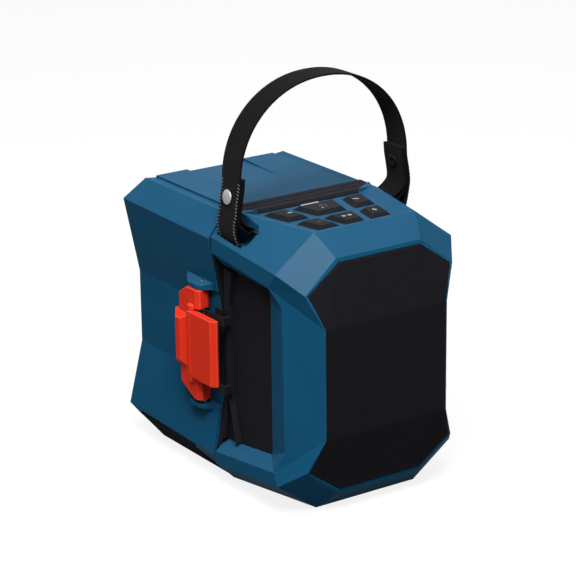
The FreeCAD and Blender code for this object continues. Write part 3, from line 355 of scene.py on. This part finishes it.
NODE_MATERIALS = {
    "shell": ["front_housing", "rear_cover"],
    "cloth": ["front_grille"],
    "frame": [
        "mid_frame", "top_trim_bar",
        "side_panel_left", "side_panel_right", "side_post_left", "side_post_right",
    ],
    "claw": ["latch_claws"],
    "latch": ["latch_lever", "latch_plate"],
    "inner": ["driver_baffle", "tweeter", "battery_dock", "battery_rails"],
    "rubber": ["bay_seal", "key_mat", "rear_skid", "base_pad", "speaker_wires"],
    "cone": ["woofer_cone"],
    "board": ["main_board", "key_board"],
    "key": ["key_minus", "key_power", "key_plus", "key_pair", "key_play", "key_skip"],
    "lens": ["status_light_bar"],
    "steel": ["driver_screws", "frame_screws", "hinge_pin", "latch_pin", "hook_pin"],
    "dark_steel": ["woofer_basket", "woofer_magnet", "strap_bar_left", "strap_bar_right"],
    "snap": ["strap_snaps"],
    "brass": ["terminal_block"],
    "webbing": ["carry_strap"],
}


def dress_nodes(materials):
    for key, names in NODE_MATERIALS.items():
        for name in names:
            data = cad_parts[name].data
            data.materials.clear()
            data.materials.append(materials[key])


# Mesh pieces

def new_piece(name, bm, material, body, smooth=False):
    bmesh.ops.recalc_face_normals(bm, faces=bm.faces)
    mesh = bpy.data.meshes.new(name)
    bm.to_mesh(mesh)
    bm.free()
    mesh.materials.append(material)
    for polygon in mesh.polygons:
        polygon.use_smooth = smooth
    piece = bpy.data.objects.new(name, mesh)
    bpy.context.scene.collection.objects.link(piece)
    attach(piece, body)
    return piece


def join_rings(bm, low, high):
    """Adds the faces between two closed rings that have as many vertices each."""
    count = len(low)
    for number in range(count):
        after = (number + 1) % count
        bm.faces.new((low[number], low[after], high[after], high[number]))


def ring_of(bm, centre, side, other, radius, steps):
    """Adds a circle of vertices to bm, in the plane of two directions."""
    ring = []
    for number in range(steps):
        angle = 2 * math.pi * number / steps
        out = side * math.cos(angle) + other * math.sin(angle)
        ring.append(bm.verts.new(centre + out * radius))
    return ring


def turned(bm, profile, centre, axis, steps=48):
    """Adds a turned form to bm. The profile is (radius, distance along the axis) in millimetres."""
    axis = axis.normalized()
    side = axis.orthogonal().normalized()
    other = axis.cross(side)
    rings = []
    for radius, along in profile:
        middle = centre + axis * along * MM
        if radius > 0.0:
            rings.append(ring_of(bm, middle, side, other, radius * MM, steps))
        else:
            rings.append([bm.verts.new(middle)])
    for low, high in zip(rings, rings[1:]):
        if len(low) == len(high):
            join_rings(bm, low, high)
            continue
        tip, rim = (low, high) if len(low) == 1 else (high, low)
        for number in range(steps):
            bm.faces.new((tip[0], rim[number], rim[(number + 1) % steps]))


def prism(bm, outline, base, height):
    """Adds a flat outline in X and Y, pushed up from base. All in metres."""
    low = [bm.verts.new((x, y, base)) for x, y in outline]
    high = [bm.verts.new((x, y, base + height)) for x, y in outline]
    bm.faces.new(low)
    bm.faces.new(high)
    join_rings(bm, low, high)


# Grille

GRILLE_TOP = (36.65, 8.8, 88.15)
GRILLE_CORNER = (64.3, 7.9, 68.3)
GRILLE_EDGE = (54.65, 0.0, 42.8)
SHEET_FRONT = 0.4
SHEET_REAR = 0.68
HOLE_PITCH = 2.3
HOLE_RADIUS = 0.72
CELL_REACH = HOLE_PITCH / math.sqrt(3)
CELL_MARGIN = 0.1
BORDER_WIDTH = 2.7
BORDER_GAP = 0.15
BORDER_BEVEL = 0.25
BORDER_PROUD = 0.04


def grille_planes():
    """Each facet as back = a + b x + c up, in millimetres."""
    planes = [(0.0, 0.0, 0.0)]
    rise = (GRILLE_TOP[1] - GRILLE_EDGE[1]) / (GRILLE_TOP[2] - GRILLE_EDGE[2])
    for sign in (-1, 1):
        planes.append((-rise * GRILLE_EDGE[2], 0.0, sign * rise))
    p, q, r = (Vector(place) for place in (GRILLE_TOP, GRILLE_CORNER, GRILLE_EDGE))
    normal = (q - p).cross(r - p)
    slope_x, slope_up = -normal.x / normal.y, -normal.z / normal.y
    offset = p.y - slope_x * p.x - slope_up * p.z
    for side in (-1, 1):
        for sign in (-1, 1):
            planes.append((offset, side * slope_x, sign * slope_up))
    return planes


GRILLE_PLANES = grille_planes()


def grille_back(x, up):
    """How far the grille's faceted surface lies behind the front face."""
    return max(a + b * x + c * up for a, b, c in GRILLE_PLANES)


def grille_outline():
    quarter = [GRILLE_TOP, GRILLE_CORNER, GRILLE_EDGE]
    right = [(x, up) for x, _, up in quarter] + [(x, -up) for x, _, up in reversed(quarter)]
    return right + [(-x, up) for x, up in reversed(right)]


def inset(outline, distance):
    """Moves every side of an outline inwards. The outline runs clockwise seen from the front."""
    count = len(outline)
    lines = []
    for number in range(count):
        (x0, z0), (x1, z1) = outline[number], outline[(number + 1) % count]
        length = math.hypot(x1 - x0, z1 - z0)
        nx, nz = (z1 - z0) / length, -(x1 - x0) / length
        lines.append((nx, nz, nx * x0 + nz * z0 + distance))
    corners = []
    for number in range(count):
        a, b, c = lines[number - 1]
        d, e, f = lines[number]
        det = a * e - b * d
        corners.append(((c * e - b * f) / det, (a * f - c * d) / det))
    return corners


def inside_by(outline, x, z):
    """How far a point lies inside the outline, or a negative number outside it."""
    crossings = 0
    nearest = math.inf
    count = len(outline)
    for number in range(count):
        (x0, z0), (x1, z1) = outline[number], outline[(number + 1) % count]
        dx, dz = x1 - x0, z1 - z0
        share = max(0.0, min(1.0, ((x - x0) * dx + (z - z0) * dz) / (dx * dx + dz * dz)))
        nearest = min(nearest, math.hypot(x - x0 - share * dx, z - z0 - share * dz))
        if (z0 > z) != (z1 > z) and x < x0 + (z - z0) / dz * dx:
            crossings += 1
    return nearest if crossings % 2 else -nearest


def cell_centres(outline):
    """Centres of the six-sided cells that fit inside the outline, in rows set off by half a pitch."""
    row_step = HOLE_PITCH * math.sqrt(3) / 2
    rows = int(GRILLE_TOP[2] / row_step) + 1
    columns = int(GRILLE_CORNER[0] / HOLE_PITCH) + 1
    centres = []
    for row in range(-rows, rows + 1):
        for column in range(-columns, columns + 1):
            x = (column + 0.5 * (row % 2)) * HOLE_PITCH
            up = row * row_step
            if inside_by(outline, x, up) > CELL_REACH + CELL_MARGIN:
                centres.append((x, up))
    return centres


def sheet_vertices(bm):
    """Returns a function that gives the sheet's vertex at a place, and makes each only once."""
    made = {}

    def vertex(x, up, behind):
        key = (round(x, 3), round(up, 3), behind)
        if key not in made:
            made[key] = bm.verts.new(at(x, grille_back(x, up) + behind, up))
        return made[key]

    return vertex


def add_cell(bm, vertex, x, up):
    """One cell of the sheet: its front and rear faces round the hole, and the hole's wall."""
    spokes = [math.radians(30 + 60 * number) for number in range(6)]
    outer = [(x + CELL_REACH * math.cos(angle), up + CELL_REACH * math.sin(angle)) for angle in spokes]
    inner = [(x + HOLE_RADIUS * math.cos(angle), up + HOLE_RADIUS * math.sin(angle)) for angle in spokes]
    for number in range(6):
        after = (number + 1) % 6
        front = [vertex(*place, SHEET_FRONT) for place in (outer[number], outer[after])]
        rear = [vertex(*place, SHEET_REAR) for place in (outer[number], outer[after])]
        hole_front = [vertex(*place, SHEET_FRONT) for place in (inner[number], inner[after])]
        hole_rear = [vertex(*place, SHEET_REAR) for place in (inner[number], inner[after])]
        bm.faces.new((front[0], front[1], hole_front[1], hole_front[0]))
        bm.faces.new((rear[0], hole_rear[0], hole_rear[1], rear[1]))
        bm.faces.new((hole_front[0], hole_front[1], hole_rear[1], hole_rear[0]))


def close_rim(bm, vertex):
    """Joins the sheet's front and rear along its outer rim."""
    for edge in [edge for edge in bm.edges if len(edge.link_faces) == 1]:
        one, two = edge.verts
        x0, up0 = one.co.x / MM, one.co.z / MM - MID_UP
        x1, up1 = two.co.x / MM, two.co.z / MM - MID_UP
        behind = one.co.y / MM + FRONT_BACK - grille_back(x0, up0)
        if abs(behind - SHEET_FRONT) < 1e-3:
            bm.faces.new((one, two, vertex(x1, up1, SHEET_REAR), vertex(x0, up0, SHEET_REAR)))


def make_grille_sheet(material):
    bm = bmesh.new()
    vertex = sheet_vertices(bm)
    for x, up in cell_centres(grille_outline()):
        add_cell(bm, vertex, x, up)
    close_rim(bm, vertex)
    new_piece("grille_sheet", bm, material, "speaker")


def make_grille_border(material):
    """A plain rim round the perforated sheet, with a small bevel on its outer edge."""
    outline = grille_outline()
    face = SHEET_FRONT - BORDER_PROUD
    section = [
        (BORDER_GAP, SHEET_REAR),
        (BORDER_GAP, SHEET_FRONT + BORDER_BEVEL),
        (BORDER_GAP + BORDER_BEVEL, face),
        (BORDER_WIDTH, face),
        (BORDER_WIDTH, SHEET_REAR),
    ]
    bm = bmesh.new()
    layers = []
    for distance, behind in section:
        line = inset(outline, distance)
        layers.append([bm.verts.new(at(x, grille_back(x, up) + behind, up)) for x, up in line])
    layers.append(layers[0])
    for low, high in zip(layers, layers[1:]):
        join_rings(bm, low, high)
    new_piece("grille_border", bm, material, "speaker")


# Strap

STRAP_MIDDLE = 92.0
STRAP_WIDTH = 24.6
STRAP_THICKNESS = 1.6
STRAP_LEAN = 1.9
ARCH_HALF_WIDTH = 75.6
ARCH_RISE = 72.1
ARCH_BASE_UP = 135.0
ARCH_POWER = 2.1
ARCH_STEPS = 48
LEG_LINE = [(76.1, 131.0), (77.7, 122.0), (78.7, 113.0), (79.0, 106.0), (78.4, 99.5), (77.2, 94.6)]
LEG_LINE += [(75.6, 91.2), (74.2, 89.2)]
LOOP_LINE = [(72.0, 139.5), (72.7, 131.0), (74.3, 122.0), (75.3, 114.0), (74.8, 110.0)]
LOOP_LINE += [(72.0, 106.6), (68.9, 104.2), (66.2, 102.6)]
RETURN_LINE = [(68.0, 98.7), (71.5, 101.2), (74.6, 104.0), (76.4, 107.5), (77.0, 111.0)]
RETURN_LINE += [(77.1, 114.0), (76.1, 122.0), (74.5, 131.0), (73.8, 139.5)]
LEAN_STARTS_UP = 103.0
LEAN_GROWS_OVER = 9.0
BAR_X = 64.0
BAR_UP = 99.0
BAR_REACH = 2.25
CURVE_PARTS = 12
BAND_STEP = 0.9
SECTION_STEPS = 48
EDGE_ROUND = 0.9
RIB_HEIGHT = 0.05
RIB_PITCH = 3.1


def leaned(side, line):
    """Puts a line of (half width, up) points on one side. Above the slots the strap leans to the right."""
    placed = []
    for half, up in line:
        share = min(1.0, max(0.0, (up - LEAN_STARTS_UP) / LEAN_GROWS_OVER))
        placed.append((side * half + STRAP_LEAN * share, up))
    return placed


def strap_line():
    """The long layer's centre line, as (x, up) in millimetres: both legs and the arch between them."""
    arch = []
    for number in range(ARCH_STEPS + 1):
        angle = math.pi * (1 - number / ARCH_STEPS)
        across = ARCH_HALF_WIDTH * math.copysign(abs(math.cos(angle)) ** (2 / ARCH_POWER), math.cos(angle))
        rise = ARCH_RISE * max(0.0, math.sin(angle)) ** (2 / ARCH_POWER)
        arch.append((across + STRAP_LEAN, ARCH_BASE_UP + rise))
    return leaned(-1, LEG_LINE[::-1]) + arch + leaned(1, LEG_LINE)


def loop_line(side):
    """The loop inside a leg: from its sewn end down, inwards, round the bar and back up the leg."""
    turn = []
    for degrees in (60, 30, 0, -30, -60, -90, -115):
        angle = math.radians(degrees)
        turn.append((BAR_X - BAR_REACH * math.cos(angle), BAR_UP + BAR_REACH * math.sin(angle)))
    return leaned(side, LOOP_LINE + turn + RETURN_LINE)


def between(p0, p1, p2, p3, t):
    """A point between p1 and p2 on the smooth curve through all four."""
    square = 2 * p0 - 5 * p1 + 4 * p2 - p3
    cubic = 3 * p1 - p0 - 3 * p2 + p3
    return 0.5 * (2 * p1 + (p2 - p0) * t + square * t * t + cubic * t ** 3)


def smoothed(points, step):
    """Evenly spaced points on a smooth curve through the given ones, and the curve's length."""
    dense = []
    for number in range(len(points) - 1):
        p0 = Vector(points[max(number - 1, 0)])
        p1, p2 = Vector(points[number]), Vector(points[number + 1])
        p3 = Vector(points[min(number + 2, len(points) - 1)])
        for part in range(CURVE_PARTS):
            dense.append(between(p0, p1, p2, p3, part / CURVE_PARTS))
    dense.append(Vector(points[-1]))
    lengths = [0.0]
    for one, two in zip(dense, dense[1:]):
        lengths.append(lengths[-1] + (two - one).length)
    count = int(lengths[-1] / step)
    even, place = [], 0
    for number in range(count + 1):
        target = lengths[-1] * number / count
        while place < len(lengths) - 2 and lengths[place + 1] < target:
            place += 1
        share = (target - lengths[place]) / (lengths[place + 1] - lengths[place])
        even.append(dense[place].lerp(dense[place + 1], share))
    return even, lengths[-1]


def strap_section():
    """The webbing's cross-section, as (across, out) in millimetres, with shallow lengthwise ribs."""
    half, thick = STRAP_WIDTH / 2, STRAP_THICKNESS / 2
    top, bottom = [], []
    for number in range(SECTION_STEPS + 1):
        across = -half + 2 * half * number / SECTION_STEPS
        edge = min(1.0, (half - abs(across)) / EDGE_ROUND)
        height = thick * math.sqrt(max(0.12, 1 - (1 - edge) ** 2))
        rib = RIB_HEIGHT * math.cos(2 * math.pi * across / RIB_PITCH)
        top.append((across, height + rib - RIB_HEIGHT))
        bottom.append((across, -height - rib + RIB_HEIGHT))
    return top, bottom


def add_band(bm, uv, line):
    """Adds one length of webbing to bm and returns the points that it follows."""
    points, length = smoothed(line, BAND_STEP)
    top, bottom = strap_section()
    ring = top + bottom[::-1]
    rows = []
    for number, point in enumerate(points):
        before, after = points[max(number - 1, 0)], points[min(number + 1, len(points) - 1)]
        tangent = (after - before).normalized()
        aside = Vector((-tangent.y, tangent.x))
        row = []
        for across, out in ring:
            spot = point + aside * out
            row.append(bm.verts.new(at(spot.x, STRAP_MIDDLE + across, spot.y)))
        rows.append(row)
    size = len(ring)
    step = length / (len(points) - 1)
    for number, (low, high) in enumerate(zip(rows, rows[1:])):
        for place in range(size):
            after = (place + 1) % size
            face = bm.faces.new((low[place], low[after], high[after], high[place]))
            spots = ((place, number), (after, number), (after, number + 1), (place, number + 1))
            for loop, (p, n) in zip(face.loops, spots):
                loop[uv].uv = ((ring[p][0] + STRAP_WIDTH) * MM, n * step * MM)
    bm.faces.new(rows[0])
    bm.faces.new(rows[-1][::-1])
    return points


def make_strap(material, thread):
    bm = bmesh.new()
    uv = bm.loops.layers.uv.new("weave")
    points = add_band(bm, uv, strap_line())
    for side in (-1, 1):
        add_band(bm, uv, loop_line(side))
    strap = new_piece("strap_webbing", bm, material, "speaker", smooth=True)
    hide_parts("carry_strap")
    make_stitches(points, thread)


def tube(bm, path, radius, sides=6):
    """Adds a round thread along a list of points."""
    rings = []
    for number, point in enumerate(path):
        before, after = path[max(number - 1, 0)], path[min(number + 1, len(path) - 1)]
        tangent = (after - before).normalized()
        side = tangent.orthogonal().normalized()
        rings.append(ring_of(bm, point, side, tangent.cross(side), radius, sides))
    for low, high in zip(rings, rings[1:]):
        join_rings(bm, low, high)
    bm.faces.new(rings[0][::-1])
    bm.faces.new(rings[-1])


# Stitches

STITCH_PITCH = 2.5
STITCH_RISE = 0.75
STITCH_RADIUS = 0.22
STITCH_LIFT = 0.16
STITCH_OUTER = 11.9
STITCH_INNER = 9.9
STITCH_PATH = ((0.0, 0.0), (0.25, STITCH_LIFT), (0.75, STITCH_LIFT), (1.0, 0.0))
SEAM_INSIDE_X = 70.0
SEAM_LOW_UP = 90.0
SEAM_HIGH_UP = 139.0
SEAM_CLEAR = 0.02


def leg_points(points, side):
    """The long layer's points on one leg, from the bottom up."""
    leg = [p for p in points if p.x * side > SEAM_INSIDE_X and SEAM_LOW_UP < p.y < SEAM_HIGH_UP]
    return sorted(leg, key=lambda point: point.y)


def add_stitch(bm, leg, side, edge, low):
    """One slanted stitch on the outside of a leg. It runs inwards from the strap's edge and rises."""
    path = []
    for share, lift in STITCH_PATH:
        up = low + share * STITCH_RISE
        back = STRAP_MIDDLE + edge * (STITCH_OUTER + share * (STITCH_INNER - STITCH_OUTER))
        x = min(leg, key=lambda point: abs(point.y - up)).x
        path.append(at(x + side * (STRAP_THICKNESS / 2 + SEAM_CLEAR + lift), back, up))
    tube(bm, path, STITCH_RADIUS * MM)


def make_stitches(points, thread):
    """Rows of stitches near the strap's front and rear edges, on the outside of both legs."""
    bm = bmesh.new()
    for side in (-1, 1):
        leg = leg_points(points, side)
        bottom = leg[0].y
        for edge in (-1, 1):
            for number in range(int((leg[-1].y - bottom) / STITCH_PITCH)):
                add_stitch(bm, leg, side, edge, bottom + number * STITCH_PITCH)
    new_piece("strap_stitches", bm, thread, "speaker", smooth=True)


# Snaps

CAP_PROFILE = [(0.0, 1.3), (4.7, 1.26), (5.3, 1.1), (5.6, 0.8), (5.6, 0.3), (0.0, 0.3)]
RIM_PROFILE = [(0.0, 0.62), (5.75, 0.62), (6.1, 0.55), (6.3, 0.35), (6.3, 0.0), (0.0, 0.0)]
STUD_PROFILE = [(0.0, 0.55), (1.5, 0.55), (1.9, 0.9), (3.2, 1.05), (4.6, 0.85), (5.1, 0.4)]
STUD_PROFILE += [(5.1, 0.0), (0.0, 0.0)]
SNAP_BACK = 93.5
SNAP_UP = 124.5
SNAP_OUTER = 78.2
SNAP_INNER = 72.6
SNAP_TILT = 8.8
STUD_RAISED = 2.0


def make_snaps(cap_material, dark_material):
    """Nickel caps with a dark rim outside the strap, dark studs inside it. The rim's dark colour is
    painted shade for the recess round each cap.
    """
    caps, dark = bmesh.new(), bmesh.new()
    tilt = math.radians(SNAP_TILT)
    for side in (-1, 1):
        outwards = Vector((side * math.cos(tilt), 0, math.sin(tilt)))
        centre = at(side * SNAP_OUTER + STRAP_LEAN, SNAP_BACK, SNAP_UP)
        turned(caps, CAP_PROFILE, centre, outwards)
        # The dark rim is painted shade round the cap.
        turned(dark, RIM_PROFILE, centre, outwards)
        centre = at(side * SNAP_INNER + STRAP_LEAN, SNAP_BACK, SNAP_UP + STUD_RAISED)
        turned(dark, STUD_PROFILE, centre, -outwards)
    snaps = new_piece("snap_caps", caps, cap_material, "speaker", smooth=True)
    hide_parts("strap_snaps")
    new_piece("snap_rims_and_studs", dark, dark_material, "speaker", smooth=True)


# Key symbols

KEY_TOP = 107.3
SYMBOL_CLEAR = 0.005
SYMBOL_HEIGHT = 0.14
REAR_ROW = 80.5
FRONT_ROW = 49.9
REAR_KEY_X = 30.0
FRONT_KEY_X = 25.2


def symbol(name, body, outlines, material):
    """A raised print on a key, from outlines of (x, back) points in millimetres."""
    bm = bmesh.new()
    base = (KEY_TOP + MID_UP + SYMBOL_CLEAR) * MM
    for outline in outlines:
        prism(bm, [(x * MM, (back - FRONT_BACK) * MM) for x, back in outline], base, SYMBOL_HEIGHT * MM)
    new_piece(name, bm, material, body)


def bar(x, back, half_x, half_back):
    """The outline of a rectangle round its middle."""
    signs = ((-1, -1), (1, -1), (1, 1), (-1, 1))
    return [(x + across * half_x, back + along * half_back) for across, along in signs]


def arc_band(x, back, radius, width, from_degrees, to_degrees, steps):
    """A curved band as a list of short outlines."""
    turn = to_degrees - from_degrees
    angles = [math.radians(from_degrees + turn * number / steps) for number in range(steps + 1)]
    outlines = []
    for one, two in zip(angles, angles[1:]):
        polar = ((one, radius), (two, radius), (two, radius + width), (one, radius + width))
        outlines.append([(x + r * math.cos(angle), back + r * math.sin(angle)) for angle, r in polar])
    return outlines


def make_symbols(bright, faint):
    minus = [bar(-REAR_KEY_X, REAR_ROW, 1.9, 0.55)]
    ring = arc_band(0.0, REAR_ROW, 2.6, 0.5, 115, 425, 28)
    power = ring + [bar(0.0, REAR_ROW + 2.4, 0.3, 1.6)]
    power_dot = [bar(-3.2, REAR_ROW - 3.9, 0.5, 0.5)]
    link = [bar(REAR_KEY_X - 0.7, REAR_ROW + 0.8, 1.7, 0.4)]
    link += [bar(REAR_KEY_X + 0.9, REAR_ROW - 0.8, 1.7, 0.4)]
    triangle = [(-3.9, FRONT_ROW - 1.7), (-0.9, FRONT_ROW), (-3.9, FRONT_ROW + 1.7)]
    play = [triangle, bar(1.3, FRONT_ROW, 0.45, 1.6), bar(3.1, FRONT_ROW, 0.45, 1.6)]
    skip = [bar(-FRONT_KEY_X, FRONT_ROW, 1.5, 0.35)]
    plus = [bar(FRONT_KEY_X, FRONT_ROW, 1.7, 0.4)]
    plus += [bar(FRONT_KEY_X, FRONT_ROW + sign * 1.5, 0.4, 1.0) for sign in (1, -1)]
    symbol("symbol_minus", "key_minus_body", minus, bright)
    symbol("symbol_power", "key_power_body", power, faint)
    symbol("symbol_power_dot", "key_power_body", power_dot, bright)
    symbol("symbol_pair", "key_pair_body", link, bright)
    symbol("symbol_play", "key_play_body", play, bright)
    symbol("symbol_skip", "key_skip_body", skip, faint)
    symbol("symbol_plus", "key_plus_body", plus, bright)


# Stage and light

FLOOR_HALF = 6.0
FLOOR_GREY = 0.2
FLOOR_GLOW = 0.85
FLOOR_MIRRORED = 0.2


def make_stage():
    bm = bmesh.new()
    corners = bar(0.0, 0.0, FLOOR_HALF, FLOOR_HALF)
    bm.faces.new([bm.verts.new((x, y, 0.0)) for x, y in corners])
    mesh = bpy.data.meshes.new("floor")
    bm.to_mesh(mesh)
    bm.free()
    m = Nodes("floor_white")
    m.set("Base Color", (FLOOR_GREY, FLOOR_GREY, FLOOR_GREY, 1.0))
    m.set("Roughness", 0.9)
    m.set("Specular IOR Level", 0.1)
    rays = m.add("LightPath")
    seen = m.math("MAXIMUM", rays.outputs["Is Camera Ray"], rays.outputs["Is Transmission Ray"])
    mirrored = m.math("MULTIPLY", rays.outputs["Is Glossy Ray"], FLOOR_MIRRORED)
    glow = m.math("ADD", m.math("MULTIPLY", seen, FLOOR_GLOW), mirrored)
    m.set("Emission Color", (1.0, 1.0, 1.0, 1.0))
    m.link(glow, m.shader.inputs["Emission Strength"])
    mesh.materials.append(m.material)
    floor = bpy.data.objects.new("floor", mesh)
    bpy.context.scene.collection.objects.link(floor)


WORLD_FILL = 0.1
WORLD_SEEN = 1.0
KEY_LIGHT = {"place": (-0.67, -0.82, 1.79), "target": (0.0, 0.05, 0.12), "size": 1.0, "power": 47.0}
REAR_LIGHT = {"place": (1.0, 1.3, 2.2), "target": (0.0, 0.1, 0.12), "size": 1.2, "power": 10.0}
GLINT_FACET = (-0.062, -0.05, 0.198)
GLINT_DIRECTION = (-0.15, -0.55, 0.82)
GLINT_DISTANCE = 1.9
GLINT_SIZE = 0.5
GLINT_POWER = 250.0


def soft_light(name, place, target, size, power):
    """A square soft box that shines from its place towards the target."""
    data = bpy.data.lights.new(name, "AREA")
    data.size = size
    data.energy = power
    light = bpy.data.objects.new(name, data)
    light.location = place
    light.rotation_euler = (Vector(target) - Vector(place)).to_track_quat("-Z", "Y").to_euler()
    bpy.context.scene.collection.objects.link(light)
    return light


def make_corner_glint():
    """A light that shows only as a soft reflection in the housing's upper left corner facet."""
    place = Vector(GLINT_FACET) + Vector(GLINT_DIRECTION).normalized() * GLINT_DISTANCE
    light = soft_light("corner_glint", place, GLINT_FACET, GLINT_SIZE, GLINT_POWER)
    light.visible_diffuse = False
    receivers = bpy.data.collections.new("corner_glint_receivers")
    receivers.objects.link(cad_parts["front_housing"])
    light.light_linking.receiver_collection = receivers


def make_lights():
    soft_light("key_light", **KEY_LIGHT)
    soft_light("rear_light", **REAR_LIGHT)
    make_corner_glint()


def make_world():
    """A dim even fill that looks white to the camera and in reflections."""
    world = bpy.data.worlds.new("studio")
    bpy.context.scene.world = world
    world.use_nodes = True
    tree = world.node_tree
    background = tree.nodes["Background"]
    rays = tree.nodes.new("ShaderNodeLightPath")
    seen = rays.outputs["Is Camera Ray"]
    for kind in ("Is Glossy Ray", "Is Transmission Ray"):
        either = tree.nodes.new("ShaderNodeMath")
        either.operation = "MAXIMUM"
        tree.links.new(seen, either.inputs[0])
        tree.links.new(rays.outputs[kind], either.inputs[1])
        seen = either.outputs[0]
    strength = tree.nodes.new("ShaderNodeMapRange")
    strength.inputs["To Min"].default_value = WORLD_FILL
    strength.inputs["To Max"].default_value = WORLD_SEEN
    tree.links.new(seen, strength.inputs["Value"])
    tree.links.new(strength.outputs["Result"], background.inputs["Strength"])
    background.inputs["Color"].default_value = (1.0, 1.0, 1.0, 1.0)


# The scene

make_camera()
materials = make_materials()
dress_nodes(materials)
make_grille_sheet(materials["grille"])
make_grille_border(materials["grille"])
make_strap(materials["webbing"], materials["thread"])
make_snaps(materials["snap"], materials["snap_dark"])
make_symbols(materials["icon"], materials["faint_icon"])
make_stage()
make_lights()
make_world()
bpy.context.scene.view_settings.view_transform = "Standard"
